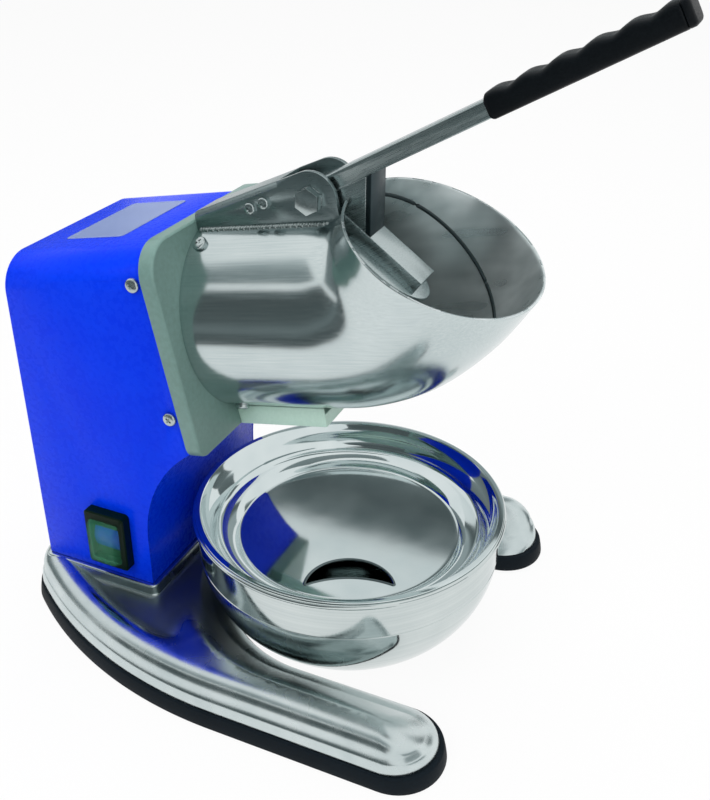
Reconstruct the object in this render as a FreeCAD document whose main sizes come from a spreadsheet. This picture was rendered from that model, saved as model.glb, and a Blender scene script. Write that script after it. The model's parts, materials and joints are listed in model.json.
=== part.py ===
"""Electric ice shaver with a hand lever: parametric assembly, millimetres, +Z up.

The row frame has its origin on the floor under the bowl's axis. +X points to the front, where the
scoop mouth opens, and -Y is the side that carries the switch. The head (plate, tube, motor, disc)
is built in an axis frame whose X runs forward along the motor axis from the plate's front face.
The lever is built in a lever frame whose origin is the pivot and whose X runs along the bar.
"""
import FreeCAD
import Part
import Sketcher
import math
import os
import re
from FreeCAD import Matrix, Placement, Rotation, Vector

doc = FreeCAD.newDocument("IceShaver")
sheet = doc.addObject("Spreadsheet::Sheet", "Dims")

DIMENSIONS = {
    # head frame
    "tilt_angle": 11.4, "face_x": -76.0, "face_z": 208.0,
    # base
    "leg_outer": 134.0, "toe_front": 106.0, "bay_radius": 76.0,
    "flank_start": -31.0, "flank_radius": 276.0, "rear_margin": 16.7, "rear_corner": 35.0,
    "rubber_height": 11.0, "rubber_taper": 2.5, "rubber_width": 5.8,
    "skirt_top": 20.0, "crest_height": 33.0, "crest_inset": 12.0, "crest_width": 6.0,
    "toe_inset": 32.0,
    "deck_height": 25.0, "valley_inset": 17.0, "valley_front": -70.0,
    "foot_margin": 3.0, "foot_top": 33.3, "cavity_top": 17.0, "casting_rim": 9.0,
    "bottom_sheet": 1.5, "base_screw_radius": 2.0, "post_radius": 5.0, "foot_corner": 4.0,
    "toe_screw_inset": 40.0, "leg_screw_x": -10.0, "deck_screw_inset": 15.0, "rear_screw_y": 36.75,
    # housing
    "housing_half": 68.8, "housing_rear": -190.3, "housing_front": -108.7,
    "cove_x": -15.0, "cove_z": 68.5, "housing_top": 57.9,
    "housing_corner": 20.0, "sheet_metal": 1.5, "floor_sheet": 2.0, "housing_bolt_radius": 3.0,
    "housing_bolt_head": 5.5, "housing_bolt_high": 4.0, "screw_margin": 12.0, "corner_margin": 14.0,
    "panel_screw_radius": 1.6, "panel_screw_length": 6.0, "panel_screw_head": 3.2,
    "panel_screw_high": 2.0,
    "label_rear": -84.0, "label_front": -42.0, "label_half": 35.0, "label_thick": 0.5,
    # front plate casting
    "plate_over": 1.5, "plate_rise": 3.6, "plate_drop": 8.6, "plate_thick": 9.4,
    "plate_corner": 20.0, "plate_low_corner": 8.0, "plate_edge": 1.6,
    "pot_radius": 50.0, "pot_wall": 4.0, "pot_depth": 22.0, "window_inset": 2.0,
    "window_lip": 2.5, "window_rim": 8.0,
    "spigot_length": 14.0, "spigot_wall": 3.0,
    "side_screw_x": -15.4, "side_screw_z": 41.0, "side_screw_radius": 2.5,
    "side_screw_length": 9.0, "lug_depth": 13.0, "lug_half": 7.0, "lug_margin": 5.0,
    # hopper
    "tube_radius": 58.9, "tube_wall": 1.5, "tube_length": 62.0,
    "hopper_screw_x": 7.0, "hopper_screw_angle": 31.6, "hopper_screw_radius": 2.5,
    "hopper_screw_length": 4.5, "slot_margin": 2.0,
    # scoop sections: top edge ahead and up, bottom edge ahead and up, extra half width
    "lip_x1": 16.0, "scoop_x1": 33.0, "scoop_rise1": 2.5,
    "lip_x2": 24.0, "lip_rise2": 1.0, "scoop_x2": 68.0, "scoop_rise2": 14.0, "scoop_wide2": 2.0,
    "lip_x3": 28.5, "lip_rise3": 4.5, "scoop_x3": 101.0, "scoop_rise3": 36.5, "scoop_wide3": 7.0,
    "lip_x4": 31.5, "lip_rise4": 9.3, "scoop_x4": 125.9, "scoop_rise4": 61.8, "scoop_wide4": 11.8,
    # chute
    "chute_ratio": 0.4075, "chute_length": 59.5, "chute_drop": 8.1, "chute_sheet": 1.2,
    "chute_gap": 0.2,
    # lever bracket
    "lever_y": -5.0, "bracket_half": 15.0, "bracket_sheet": 3.0, "bracket_rise": 6.6,
    "pivot_ahead": 75.5, "pivot_rise": 10.1, "bracket_round": 15.0, "web_front": 57.0,
    "bracket_bend": 3.4, "weld_radius": 1.9,
    # lever
    "lever_angle": 30.0, "bar_width": 20.0, "bar_height": 9.0, "bar_rise": 2.6,
    "bar_rear": -9.0, "grip_start": 107.0, "grip_end": 203.0, "bar_margin": 4.0,
    "boss_radius": 8.0, "bush_radius": 5.5, "bolt_radius": 4.0, "bolt_fit": 0.05,
    "washer_radius": 7.5, "side_gap": 0.3,
    "grip_wall": 1.5, "grip_wave": 1.8, "grip_waves": 5.0, "cap_length": 4.0,
    # pusher
    "pusher_angle": 65.0, "pusher_offset": 4.6, "pusher_thick": 3.0,
    "pusher_centre": 51.0, "pusher_radius": 29.5, "channel_start": 16.0,
    "channel_end": 73.6, "channel_depth": 8.7, "channel_sheet": 2.0,
    "strut_top": 36.6, "strut_thick": 3.0, "gusset_thick": 3.0,
    # safety switch
    "micro_x": 42.0, "micro_rise": 8.3, "micro_slope": 14.7, "micro_length": 19.8,
    "micro_height": 10.0, "micro_width": 6.4, "micro_pitch": 9.5, "micro_screw_radius": 1.5,
    "micro_button_radius": 1.5, "micro_button_out": 2.2, "micro_button_in": 2.0,
    "micro_stroke": 1.0, "micro_screw_length": 9.0, "micro_screw_head": 2.9,
    "micro_screw_high": 1.9,
    # blade disc
    "disc_x": 5.0, "disc_thick": 5.0, "disc_gap": 1.0, "blade_count": 3.0,
    "blade_length": 34.0, "blade_width": 13.0, "blade_thick": 2.5, "blade_offset": 28.0,
    "slot_width": 6.0, "blade_screw_radius": 2.0, "blade_screw_pitch": 20.0, "nut_radius": 9.0,
    "nut_length": 8.0,
    # motor
    "shaft_radius": 6.0, "shaft_fit": 0.05, "bell_radius": 50.0, "bell_wall": 3.5,
    "bell_depth": 13.5, "stator_radius": 48.0, "stator_bore": 30.0, "motor_margin": 159.3,
    "rotor_gap": 0.5, "bearing_radius": 13.0, "bearing_width": 7.0, "winding_inner": 32.0,
    "winding_outer": 44.0, "fan_radius": 40.0, "fan_width": 8.0,
    "fan_gap": 3.0, "fan_blades": 9.0, "through_bolt_circle": 54.0, "through_bolt_radius": 2.0,
    "bolt_lug_radius": 5.5, "seal_radius": 11.0,
    # electrics
    "capacitor_radius": 17.5, "capacitor_length": 62.0, "capacitor_inset": 32.3,
    "capacitor_z": 61.0, "clamp_width": 14.0, "terminal_length": 42.0, "terminal_width": 16.0,
    "terminal_height": 14.0,
    "switch_x": -137.5, "switch_z": 62.0, "bezel_width": 30.5, "bezel_height": 40.0,
    "bezel_out": 2.4, "bezel_depth": 20.0, "rocker_width": 21.0,
    "rocker_height": 29.0, "rocker_out": 3.6, "rocker_gap": 0.6, "rocker_tilt": 6.0,
    "rocker_pin": 1.0, "rocker_fit": 0.05, "rocker_hub": 2.6, "cover_out": 7.6,
    "cover_wall": 0.9, "cover_inset": 5.0, "gland_radius": 9.0, "gland_length": 14.0,
    "gland_bore": 4.0, "gland_inset": 28.8, "gland_z": 62.0, "gland_flange": 2.0,
    # bowl
    "bowl_rim": 100.0, "bowl_band": 97.0, "bowl_foot": 55.0, "bowl_curve": 70.0,
    "bowl_crease": 59.0, "bowl_height": 86.3, "bowl_wall": 1.2, "bowl_roll": 2.9,
    "tray_radius": 72.7, "tray_floor": 64.0, "tray_step": 84.0, "tray_step_z": 69.0,
    "tray_sheet": 1.0, "tray_gap": 0.3, "tray_lip": 98.3,
    "crescent_reach": 57.0, "crescent_half": 27.4, "crescent_outer": 27.5,
    "crescent_inner": 55.7, "crescent_angle": -66.0,
    # screws
    "screw_head": 4.3, "screw_head_height": 2.6,
}
for row, (alias, value) in enumerate(DIMENSIONS.items(), start=1):
    sheet.set("A%d" % row, alias)
    sheet.set("B%d" % row, repr(value))
    sheet.setAlias("B%d" % row, alias)
doc.recompute()

ALIAS = re.compile(r"\b(%s)\b" % "|".join(sorted(DIMENSIONS, key=len, reverse=True)))
AXIS_TURN = {"X": Rotation(Vector(0, 1, 0), 90), "Y": Rotation(Vector(-1, 0, 0), 90),
             "Z": Rotation()}
# Sizes that follow others: each is written with named sizes only.
TIED = {
    "plate_half": "(housing_half + plate_over)",
    "plate_top": "(housing_top + plate_rise)",
    "plate_bottom": "(tube_radius + plate_drop)",
    "chute_half": "(tube_radius * chute_ratio)",
    "chute_low": "(tube_radius + chute_drop)",
    "window_half": "(tube_radius * chute_ratio - window_inset)",
    "pivot_up": "(tube_radius + pivot_rise)",
    "gland_y": "(housing_half - gland_inset)",
    "capacitor_x": "(housing_rear + capacitor_inset)",
    "stator_length": "(0 - housing_rear - motor_margin)",
}
TIED_NAME = re.compile(r"\b(%s)\b" % "|".join(TIED))
PIVOT_X = "face_x + pivot_ahead * cos(tilt_angle) - pivot_up * sin(tilt_angle)"
PIVOT_Z = "face_z + pivot_ahead * sin(tilt_angle) + pivot_up * cos(tilt_angle)"
FRAMES = {
    "row": ("0", "0", "0", "0"),
    "axis": ("face_x", "0", "face_z", "tilt_angle"),
    "lever": (PIVOT_X, "lever_y", PIVOT_Z, "lever_angle"),
}
BOLT_TURNS = (45, 135, 225, 315)
nodes = []


def dim(alias):
    """The sheet's present value of one driving dimension."""
    return float(sheet.get(alias))


def expression(text):
    """A size written with aliases, as a spreadsheet expression."""
    plain = TIED_NAME.sub(lambda found: TIED[found.group(1)], text)
    return ALIAS.sub(r"Dims.\1", plain)


def bind(obj, prop, text):
    obj.setExpression(prop, expression(text))


def place(obj, x="0", y="0", z="0", turn=None):
    """Turn an object once and bind where it stands."""
    obj.Placement = Placement(Vector(), turn or Rotation())
    for axis, text in zip("xyz", (x, y, z)):
        bind(obj, ".Placement.Base." + axis, text)
    return obj


def cylinder(radius, length, x="0", y="0", z="0", along="X"):
    """A cylinder that starts at a point and runs along one axis."""
    solid = doc.addObject("Part::Cylinder", "Cylinder")
    bind(solid, "Radius", radius)
    bind(solid, "Height", length)
    return place(solid, x, y, z, AXIS_TURN[along])


def ring(outer, inner, length, x="0", y="0", z="0", along="X"):
    """A tube: an outer cylinder less a bore of the same length."""
    return cut(cylinder(outer, length, x, y, z, along), cylinder(inner, length, x, y, z, along))


def box(x_size, y_size, z_size, x="0", y="0", z="0"):
    """A box by its sizes and its lowest corner."""
    solid = doc.addObject("Part::Box", "Box")
    for prop, text in (("Length", x_size), ("Width", y_size), ("Height", z_size)):
        bind(solid, prop, text)
    return place(solid, x, y, z)


def slab(x_size, half_width, z_size, x="0", z="0", y_mid="0"):
    """A box centred on a plane of constant Y."""
    return box(x_size, "2 * (%s)" % half_width, z_size, x, "%s - (%s)" % (y_mid, half_width), z)


def prism(sides, radius, length, x="0", y="0", z="0", along="Y"):
    """A regular prism, such as a hexagon head, by its corner radius."""
    solid = doc.addObject("Part::Prism", "Prism")
    solid.Polygon = sides
    bind(solid, "Circumradius", radius)
    bind(solid, "Height", length)
    return place(solid, x, y, z, AXIS_TURN[along])


def fuse(*shapes):
    result = doc.addObject("Part::MultiFuse", "Fusion")
    result.Shapes = list(shapes)
    return result


def cut(base, *tools):
    result = doc.addObject("Part::Cut", "Cut")
    result.Base = base
    result.Tool = tools[0] if len(tools) == 1 else fuse(*tools)
    return result


def common(*shapes):
    result = doc.addObject("Part::MultiCommon", "Common")
    result.Shapes = list(shapes)
    return result


def turned_copies(make, count, about="X", start=0.0):
    """Copies of one solid, evenly spaced round an axis through the frame's origin."""
    axis = {"X": Vector(1, 0, 0), "Y": Vector(0, 1, 0), "Z": Vector(0, 0, 1)}[about]
    copies = []
    for index in range(count):
        wrapper = doc.addObject("Part::Compound", "Copy")
        wrapper.Links = [make()]
        wrapper.Placement = Placement(Vector(), Rotation(axis, start + 360.0 * index / count))
        copies.append(wrapper)
    return copies


def rounded(base, radius, chosen):
    """Round the edges of a solid that a test picks by their middle point and direction."""
    doc.recompute()
    fillet = doc.addObject("Part::Fillet", "Fillet")
    fillet.Base = base
    edges = []
    for index, edge in enumerate(base.Shape.Edges, start=1):
        middle = edge.valueAt((edge.FirstParameter + edge.LastParameter) / 2)
        start, end = edge.Vertexes[0].Point, edge.Vertexes[-1].Point
        if chosen(middle, end - start):
            edges.append((index, dim(radius), dim(radius)))
    fillet.Edges = edges
    return fillet


def node(name, obj, frame="row"):
    """Name a finished sub-part and put it in its frame."""
    x, y, z, angle = FRAMES[frame]
    if frame != "row":
        if obj.TypeId != "Part::Feature":
            group = doc.addObject("Part::Compound", "Group")
            group.Links = [obj]
            obj = group
        obj.Placement = Placement(Vector(), Rotation(Vector(0, -1, 0), 1))
        for axis, text in zip("xyz", (x, y, z)):
            bind(obj, ".Placement.Base." + axis, text)
        bind(obj, ".Placement.Rotation.Angle", angle)
    obj.Label = name
    nodes.append(obj)
    return obj


def feature(name, shape, frame="row"):
    """A sub-part whose shape comes from Part's own functions."""
    obj = doc.addObject("Part::Feature", name)
    obj.Shape = shape
    return node(name, obj, frame)


def origin_plane(body, role):
    return next(item for item in body.Origin.OriginFeatures if item.Role == role)


def sketch_profile(body, role, points, arcs=None):
    """A closed sketch whose corners are bound to the sheet.

    arcs maps a side to its radius and to 1 for a bulge to the right of the side, -1 to the left.
    """
    sketch = body.newObject("Sketcher::SketchObject", "Profile")
    sketch.AttachmentSupport = [(origin_plane(body, role), "")]
    sketch.MapMode = "FlatFace"
    values = [tuple(number(text) for text in point) for point in points]
    count = len(points)
    starts = {}
    for side in range(count):
        first = Vector(*values[side], 0)
        last = Vector(*values[(side + 1) % count], 0)
        if arcs and side in arcs:
            text, bulge = arcs[side]
            radius = number(text)
            half = (last - first) * 0.5
            height = math.sqrt(max(radius ** 2 - half.Length ** 2, 0.0))
            left = Vector(-half.y, half.x, 0).normalize()
            centre = first + half + left * height * bulge
            middle = centre - left * radius * bulge
            ends = (first, last) if bulge > 0 else (last, first)
            sketch.addGeometry(Part.Arc(ends[0], middle, ends[1]))
            starts[side] = (1, 2) if bulge > 0 else (2, 1)
            mark = sketch.addConstraint(Sketcher.Constraint("Radius", side, radius))
            sketch.setExpression("Constraints[%d]" % mark, expression(text))
        else:
            sketch.addGeometry(Part.LineSegment(first, last))
            starts[side] = (1, 2)
    for side in range(count):
        following = (side + 1) % count
        sketch.addConstraint(Sketcher.Constraint(
            "Coincident", side, starts[side][1], following, starts[following][0]))
    for side, (point, value) in enumerate(zip(points, values)):
        for kind, text, size in zip(("DistanceX", "DistanceY"), point, value):
            mark = sketch.addConstraint(
                Sketcher.Constraint(kind, -1, 1, side, starts[side][0], size))
            sketch.setExpression("Constraints[%d]" % mark, expression(text))
    return sketch


def number(text):
    """The present value of a size written with aliases."""
    plain = TIED_NAME.sub(lambda found: TIED[found.group(1)], text)
    words = ALIAS.sub(lambda found: "(%r)" % dim(found.group(1)), plain)
    return FreeCAD.Units.Quantity(words).Value


def turned_body(points, arcs=None):
    """A PartDesign body revolved about Z from a profile of radius and height pairs."""
    body = doc.addObject("PartDesign::Body", "Body")
    profile = sketch_profile(body, "XZ_Plane", points, arcs)
    revolution = body.newObject("PartDesign::Revolution", "Revolution")
    revolution.Profile = profile
    revolution.ReferenceAxis = (profile, ["V_Axis"])
    revolution.Angle = 360
    return body


def pocket(body, role, points, length, arcs=None):
    """Cut a profile out of a body, to both sides of the plane."""
    cutter = body.newObject("PartDesign::Pocket", "Pocket")
    cutter.Profile = sketch_profile(body, role, points, arcs)
    cutter.SideType = "Symmetric"
    bind(cutter, "Length", length)
    body.Tip = cutter
    return body


def axis_placement():
    """The placement of the axis frame in the row frame."""
    return Placement(Vector(dim("face_x"), 0, dim("face_z")),
                     Rotation(Vector(0, -1, 0), dim("tilt_angle")))


def screw_solid(radius, length, head=None, head_height=None):
    """A pan-head screw along +Z with a cross recess; the head's seat is at z = 0."""
    head = head or dim("screw_head")
    head_height = head_height or dim("screw_head_height")
    dome = Part.makeCylinder(head, head_height)
    dome = dome.makeFillet(0.45 * head_height, [dome.Edges[0]])
    for turn in (0, 90):
        slot = Part.makeBox(1.1 * head, 0.22 * head, head_height)
        slot.translate(Vector(-0.55 * head, -0.11 * head, 0.45 * head_height))
        slot.rotate(Vector(), Vector(0, 0, 1), turn)
        dome = dome.cut(slot)
    shank = Part.makeCylinder(radius, length, Vector(0, 0, -length))
    return dome.fuse(shank).removeSplitter()


def screws_at(places, radius, length, head=None, head_height=None):
    """A group of equal screws; each place is a seat point and the direction of the head."""
    group = []
    for point, outward in places:
        screw = screw_solid(radius, length, head, head_height)
        screw.Placement = Placement(point, Rotation(Vector(0, 0, 1), outward))
        group.append(screw)
    return Part.makeCompound(group)


def drilled(shape, places, radius, depth, above=30.0):
    """Bore the holes that a group of screws needs, from above its seats to their ends."""
    for point, outward in places:
        shape = shape.cut(Part.makeCylinder(radius, depth + above, point - outward * depth,
                                            outward))
    return shape


# ---------------------------------------------------------------- base

def base_outline(height, outer_inset, inner_inset, toe_inset):
    """The horseshoe's closed outline at one height, moved in from its outside, bay and toes."""
    outer = dim("leg_outer") - outer_inset
    bay = dim("bay_radius") + inner_inset
    toe_radius = (outer - bay) / 2
    toe_y = (outer + bay) / 2
    toe_x = dim("toe_front") - toe_inset - toe_radius
    flank = Vector(dim("flank_start"), dim("flank_radius") - dim("leg_outer"), height)
    flank_radius = dim("flank_radius") - outer_inset
    corner_radius = dim("rear_corner") - outer_inset
    corner_x = dim("housing_rear") - dim("rear_margin") + dim("rear_corner")
    across = flank.x - corner_x
    reach = dim("flank_radius") - dim("rear_corner")
    corner_y = flank.y - math.sqrt(reach ** 2 - across ** 2)
    to_corner = math.atan2(corner_y - flank.y, corner_x - flank.x)
    centre = Vector(corner_x, corner_y, height)

    def polar(middle, radius, angle):
        return middle + Vector(radius * math.cos(angle), radius * math.sin(angle), 0)

    def at(x, y):
        return Vector(x, y, height)

    toe = at(toe_x, -toe_y)
    joint = polar(flank, flank_radius, to_corner)
    flank_middle = polar(flank, flank_radius, (to_corner - math.pi / 2) / 2)
    rear = polar(centre, corner_radius, math.pi)
    corner_middle = polar(centre, corner_radius, (to_corner - math.pi) / 2)
    start = at(dim("flank_start"), -outer)
    near = [
        Part.Arc(rear, corner_middle, joint),
        Part.Arc(joint, flank_middle, start),
        Part.LineSegment(start, at(toe_x, -outer)),
        Part.Arc(at(toe_x, -outer), polar(toe, toe_radius, 0), at(toe_x, -bay)),
        Part.LineSegment(at(toe_x, -bay), at(0, -bay)),
    ]
    bay_arc = Part.Arc(at(0, -bay), at(-bay, 0), at(0, bay))
    mirror = Matrix()
    mirror.scale(1, -1, 1)
    near_edges = [curve.toShape() for curve in near]
    far_edges = [edge.transformGeometry(mirror) for edge in near_edges]
    back = Part.LineSegment(Vector(rear.x, -rear.y, height), rear).toShape()
    return Part.Wire(Part.__sortEdges__(near_edges + [bay_arc.toShape()] + far_edges + [back]))


def base_loft(levels):
    """A solid through outlines given as height, outer, inner and toe insets."""
    return Part.makeLoft([base_outline(*level) for level in levels], True, True)


def base_screw_places():
    """Seats of the bottom plate's screws, midway across the horseshoe."""
    middle = (dim("leg_outer") + dim("bay_radius")) / 2
    seat = dim("rubber_height") - dim("bottom_sheet")
    spots = [(dim("toe_front") - dim("toe_screw_inset"), middle), (dim("leg_screw_x"), middle),
             (dim("housing_front"), middle - dim("deck_screw_inset")),
             (dim("housing_rear") + dim("screw_margin"), dim("rear_screw_y"))]
    return [(Vector(x, side * y, seat), Vector(0, 0, -1)) for x, y in spots for side in (-1, 1)]


def housing_bolt_places():
    """Seats of the bolts that hold the housing's floor on the base's foot."""
    seat = dim("foot_top") + dim("floor_sheet")
    margin = dim("corner_margin")
    xs = (dim("housing_rear") + margin, dim("housing_front") - margin)
    half = dim("housing_half") - dim("screw_margin")
    return [(Vector(x, side * half, seat), Vector(0, 0, 1)) for x in xs for side in (-1, 1)]


def housing_bolt_depth():
    """From the bolts' seats to the cavity under the foot."""
    return dim("floor_sheet") + dim("foot_top") - dim("cavity_top")


def build_base():
    """Casting, rubber strip, bottom plate and its screws."""
    low, skirt, crest = dim("rubber_height"), dim("skirt_top"), dim("crest_height")
    taper, inset = dim("rubber_taper"), dim("crest_inset")
    slope = dim("leg_outer") - dim("bay_radius") - inset - dim("crest_width")
    toe, middle = dim("toe_inset"), (skirt + crest) / 2
    casting = base_loft([
        (low, taper, taper, taper + 0.08 * toe),
        ((low + skirt) / 2, taper + 1, taper + 0.15 * slope, taper + 0.12 * toe),
        (skirt, taper + 2, 0.35 * slope, 0.3 * toe),
        (middle, 0.62 * inset, 0.65 * slope, 0.6 * toe), (crest, inset, slope, toe)])
    foot_x = dim("housing_rear") - dim("foot_margin")
    foot_length = dim("housing_front") - dim("housing_rear") + 2 * dim("foot_margin")
    foot_half = dim("housing_half") + dim("foot_margin")
    foot = Part.makeBox(foot_length, 2 * foot_half, dim("foot_top") - low,
                        Vector(foot_x, -foot_half, low))
    foot = foot.makeFillet(dim("foot_corner"), [edge for edge in foot.Edges if abs(
        edge.tangentAt(edge.FirstParameter).z) > 0.9])
    deck = dim("deck_height")
    valley = base_loft([(deck, dim("valley_inset"), 0.0, 0.0), (crest + 1, inset + 1, 0.0, 0.0)])
    reach = dim("leg_outer") - dim("housing_rear") + dim("rear_margin")
    half_space = Part.makeBox(reach, reach, crest + inset,
                              Vector(dim("valley_front") - reach, -reach / 2, 0))
    valley = valley.common(half_space)
    casting = casting.cut(valley).fuse(foot)
    rim = dim("casting_rim")
    cavity = base_loft([(low, rim, rim, rim), (dim("cavity_top"), rim + 2, rim + 6, rim + 4)])
    for point, _ in base_screw_places():
        post = Part.makeCylinder(dim("post_radius"), dim("cavity_top"), Vector(point.x, point.y, 0))
        cavity = cavity.cut(post)
    casting = casting.cut(cavity).removeSplitter()
    screw, depth = dim("base_screw_radius"), dim("cavity_top") - low + 2
    casting = drilled(casting, base_screw_places(), screw, depth)
    casting = drilled(casting, housing_bolt_places(), dim("housing_bolt_radius"),
                      housing_bolt_depth())
    feature("base_casting", casting)
    width = dim("rubber_width")
    strip = base_loft([(0.0, 0.0, 0.0, 0.0), (low, taper, taper, taper)])
    strip = strip.cut(base_loft([(0.0, width, width, width), (low, width, width, width)]))
    feature("base_rubber_strip", strip)
    plate = base_loft([(low - dim("bottom_sheet"), width, width, width),
                       (low, width, width, width)])
    feature("base_bottom_plate", drilled(plate, base_screw_places(), screw, depth))
    feature("bottom_plate_screws", screws_at(base_screw_places(), screw, depth))


# ---------------------------------------------------------------- housing

def row_point(ahead, up, y=0.0):
    """A point of the axis frame, in the row frame."""
    return axis_placement().multVec(Vector(ahead, y, up))


def cove_end(radius):
    """Where an arc about the cove's centre meets the plate's rear face."""
    centre = Vector(dim("cove_x"), 0, dim("cove_z"))
    start = row_point(-dim("plate_thick"), 0)
    down = row_point(-dim("plate_thick"), -1) - start
    gap = start - centre
    half = gap.dot(down)
    reach = -half - math.sqrt(half ** 2 - gap.dot(gap) + radius ** 2)
    return start + down * reach


def cove_arc(radius, shift=0.0):
    """The cove's arc from its upright tangent to the plate."""
    centre = Vector(dim("cove_x"), 0, dim("cove_z"))
    start = centre + Vector(-radius, 0, shift)
    end = cove_end(radius)
    angle = (math.pi + math.atan2(end.z - centre.z, end.x - centre.x)) / 2
    middle = centre + Vector(radius * math.cos(angle), 0, radius * math.sin(angle))
    return Part.Arc(start, middle, end).toShape()


def side_profile():
    """The housing's side, from the foot round the cove to the plate and back along the top."""
    rear, front, foot = dim("housing_rear"), dim("housing_front"), dim("foot_top")
    arc = cove_arc(dim("cove_x") - front)
    cove_start, plate_low = arc.Vertexes[0].Point, arc.Vertexes[-1].Point
    if cove_start.z > plate_low.z:
        cove_start, plate_low = plate_low, cove_start
    plate_high = row_point(-dim("plate_thick"), dim("housing_top"))
    slope = math.tan(math.radians(dim("tilt_angle")))
    top_rear = Vector(rear, 0, plate_high.z - (plate_high.x - rear) * slope)
    corners = [plate_low, plate_high, top_rear, Vector(rear, 0, foot), Vector(front, 0, foot),
               cove_start]
    lines = [Part.LineSegment(first, last).toShape()
             for first, last in zip(corners[:-1], corners[1:])]
    return Part.Wire(Part.__sortEdges__(lines + [arc]))


def housing_solid():
    """The housing's outer form with its two long top corners rounded."""
    half = dim("housing_half")
    face = Part.Face(side_profile())
    face.translate(Vector(0, -half, 0))
    solid = face.extrude(Vector(0, 2 * half, 0))
    along = row_point(1, 0) - row_point(0, 0)
    edges = [edge for edge in solid.Edges if edge.Curve.TypeId == "Part::GeomLine"
             and abs(edge.tangentAt(edge.FirstParameter).dot(along)) > 0.999]
    return solid.makeFillet(dim("housing_corner"), edges)


def housing_void():
    """The space inside the folded wrap: open at the front, back and bottom."""
    half, top = dim("housing_half") - dim("sheet_metal"), dim("housing_top") - dim("sheet_metal")
    reach = 2 * dim("face_z")
    void = Part.makeBox(2 * reach, 2 * half, reach, Vector(-reach, -half, top - reach))
    edges = [edge for edge in void.Edges if abs(edge.tangentAt(edge.FirstParameter).x) > 0.9
             and edge.CenterOfMass.z > 0]
    void = void.makeFillet(dim("housing_corner") - dim("sheet_metal"), edges)
    void.Placement = axis_placement()
    return void


def side_screw_places():
    """Seats of the screws that hold the housing's sides to the plate's lugs."""
    return [(row_point(dim("side_screw_x"), up * dim("side_screw_z"), side * dim("housing_half")),
             Vector(0, side, 0)) for side in (-1, 1) for up in (-1, 1)]


def back_screw_places():
    """Seats of the back panel's corner screws."""
    half = dim("housing_half") - dim("screw_margin")
    heights = (dim("foot_top") + dim("corner_margin"), dim("face_z") - dim("corner_margin"))
    return [(Vector(dim("housing_rear"), side * half, z), Vector(-1, 0, 0))
            for side in (-1, 1) for z in heights]


def build_housing():
    """Wrap, cove panel, back panel, floor and their fasteners."""
    sheet_thick = dim("sheet_metal")
    void = housing_void()
    shell = housing_solid().cut(void)
    opening = Part.makeBox(dim("bezel_width") - 3, 2 * sheet_thick + 1, dim("bezel_height") - 3)
    opening.translate(Vector(dim("switch_x") - (dim("bezel_width") - 3) / 2,
                             -dim("housing_half") - 0.5,
                             dim("switch_z") - (dim("bezel_height") - 3) / 2))
    shell = shell.cut(opening)
    shell = drilled(shell, side_screw_places(), dim("side_screw_radius"), 2 * sheet_thick)
    feature("housing_shell", shell)

    outer = dim("cove_x") - dim("housing_front")
    front, foot = dim("housing_front"), dim("foot_top")
    half = dim("housing_half") - sheet_thick
    near_arc, far_arc = cove_arc(outer), cove_arc(outer + sheet_thick)
    low = [Vector(front, 0, foot), Vector(front - sheet_thick, 0, foot)]

    def ends(arc):
        points = sorted((vertex.Point for vertex in arc.Vertexes), key=lambda point: point.z)
        return points[0], points[-1]

    lines = [Part.LineSegment(low[0], ends(near_arc)[0]), Part.LineSegment(*low),
             Part.LineSegment(low[1], ends(far_arc)[0]),
             Part.LineSegment(ends(near_arc)[1], ends(far_arc)[1])]
    edges = [line.toShape() for line in lines] + [near_arc, far_arc]
    cove = Part.Face(Part.Wire(Part.__sortEdges__(edges)))
    cove.translate(Vector(0, -half, 0))
    feature("housing_cove_panel", cove.extrude(Vector(0, 2 * half, 0)))

    rear = dim("housing_rear")
    back = Part.makeBox(sheet_thick, 2 * half, 2 * dim("face_z"), Vector(rear, -half, foot))
    back = back.common(void)
    screw, length = dim("panel_screw_radius"), dim("panel_screw_length")
    back = drilled(back, back_screw_places(), screw, length)
    gland_y = dim("housing_half") - dim("gland_inset")
    gland = Part.makeCylinder(dim("gland_radius") - dim("gland_flange"), 3 * sheet_thick,
                              Vector(rear - sheet_thick, gland_y, dim("gland_z")),
                              Vector(1, 0, 0))
    feature("housing_back_panel", back.cut(gland))
    feature("back_panel_screws", screws_at(back_screw_places(), screw, length,
                                           dim("panel_screw_head"), dim("panel_screw_high")))

    floor = Part.makeBox(front - rear - 2 * sheet_thick, 2 * half, dim("floor_sheet"),
                         Vector(rear + sheet_thick, -half, foot))
    bolt, depth = dim("housing_bolt_radius"), housing_bolt_depth()
    feature("housing_floor", drilled(floor, housing_bolt_places(), bolt, depth))
    feature("housing_bolts", screws_at(housing_bolt_places(), bolt, depth,
                                       dim("housing_bolt_head"), dim("housing_bolt_high")))
    feature("side_screws", screws_at(side_screw_places(), dim("side_screw_radius"),
                                     dim("side_screw_length")))
    label = box("label_front - label_rear", "2 * label_half", "label_thick", "label_rear",
                "-label_half", "housing_top")
    node("label_plate", label, "axis")


# ---------------------------------------------------------------- head

def hopper_screw_places():
    """Seats of the radial screws in the tube's rear end, in the axis frame."""
    places = []
    for turn in (0, 120, 240):
        angle = math.radians(dim("hopper_screw_angle") + turn)
        outward = Vector(0, -math.sin(angle), math.cos(angle))
        places.append((outward * dim("tube_radius") + Vector(dim("hopper_screw_x"), 0, 0),
                       outward))
    return places


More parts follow.
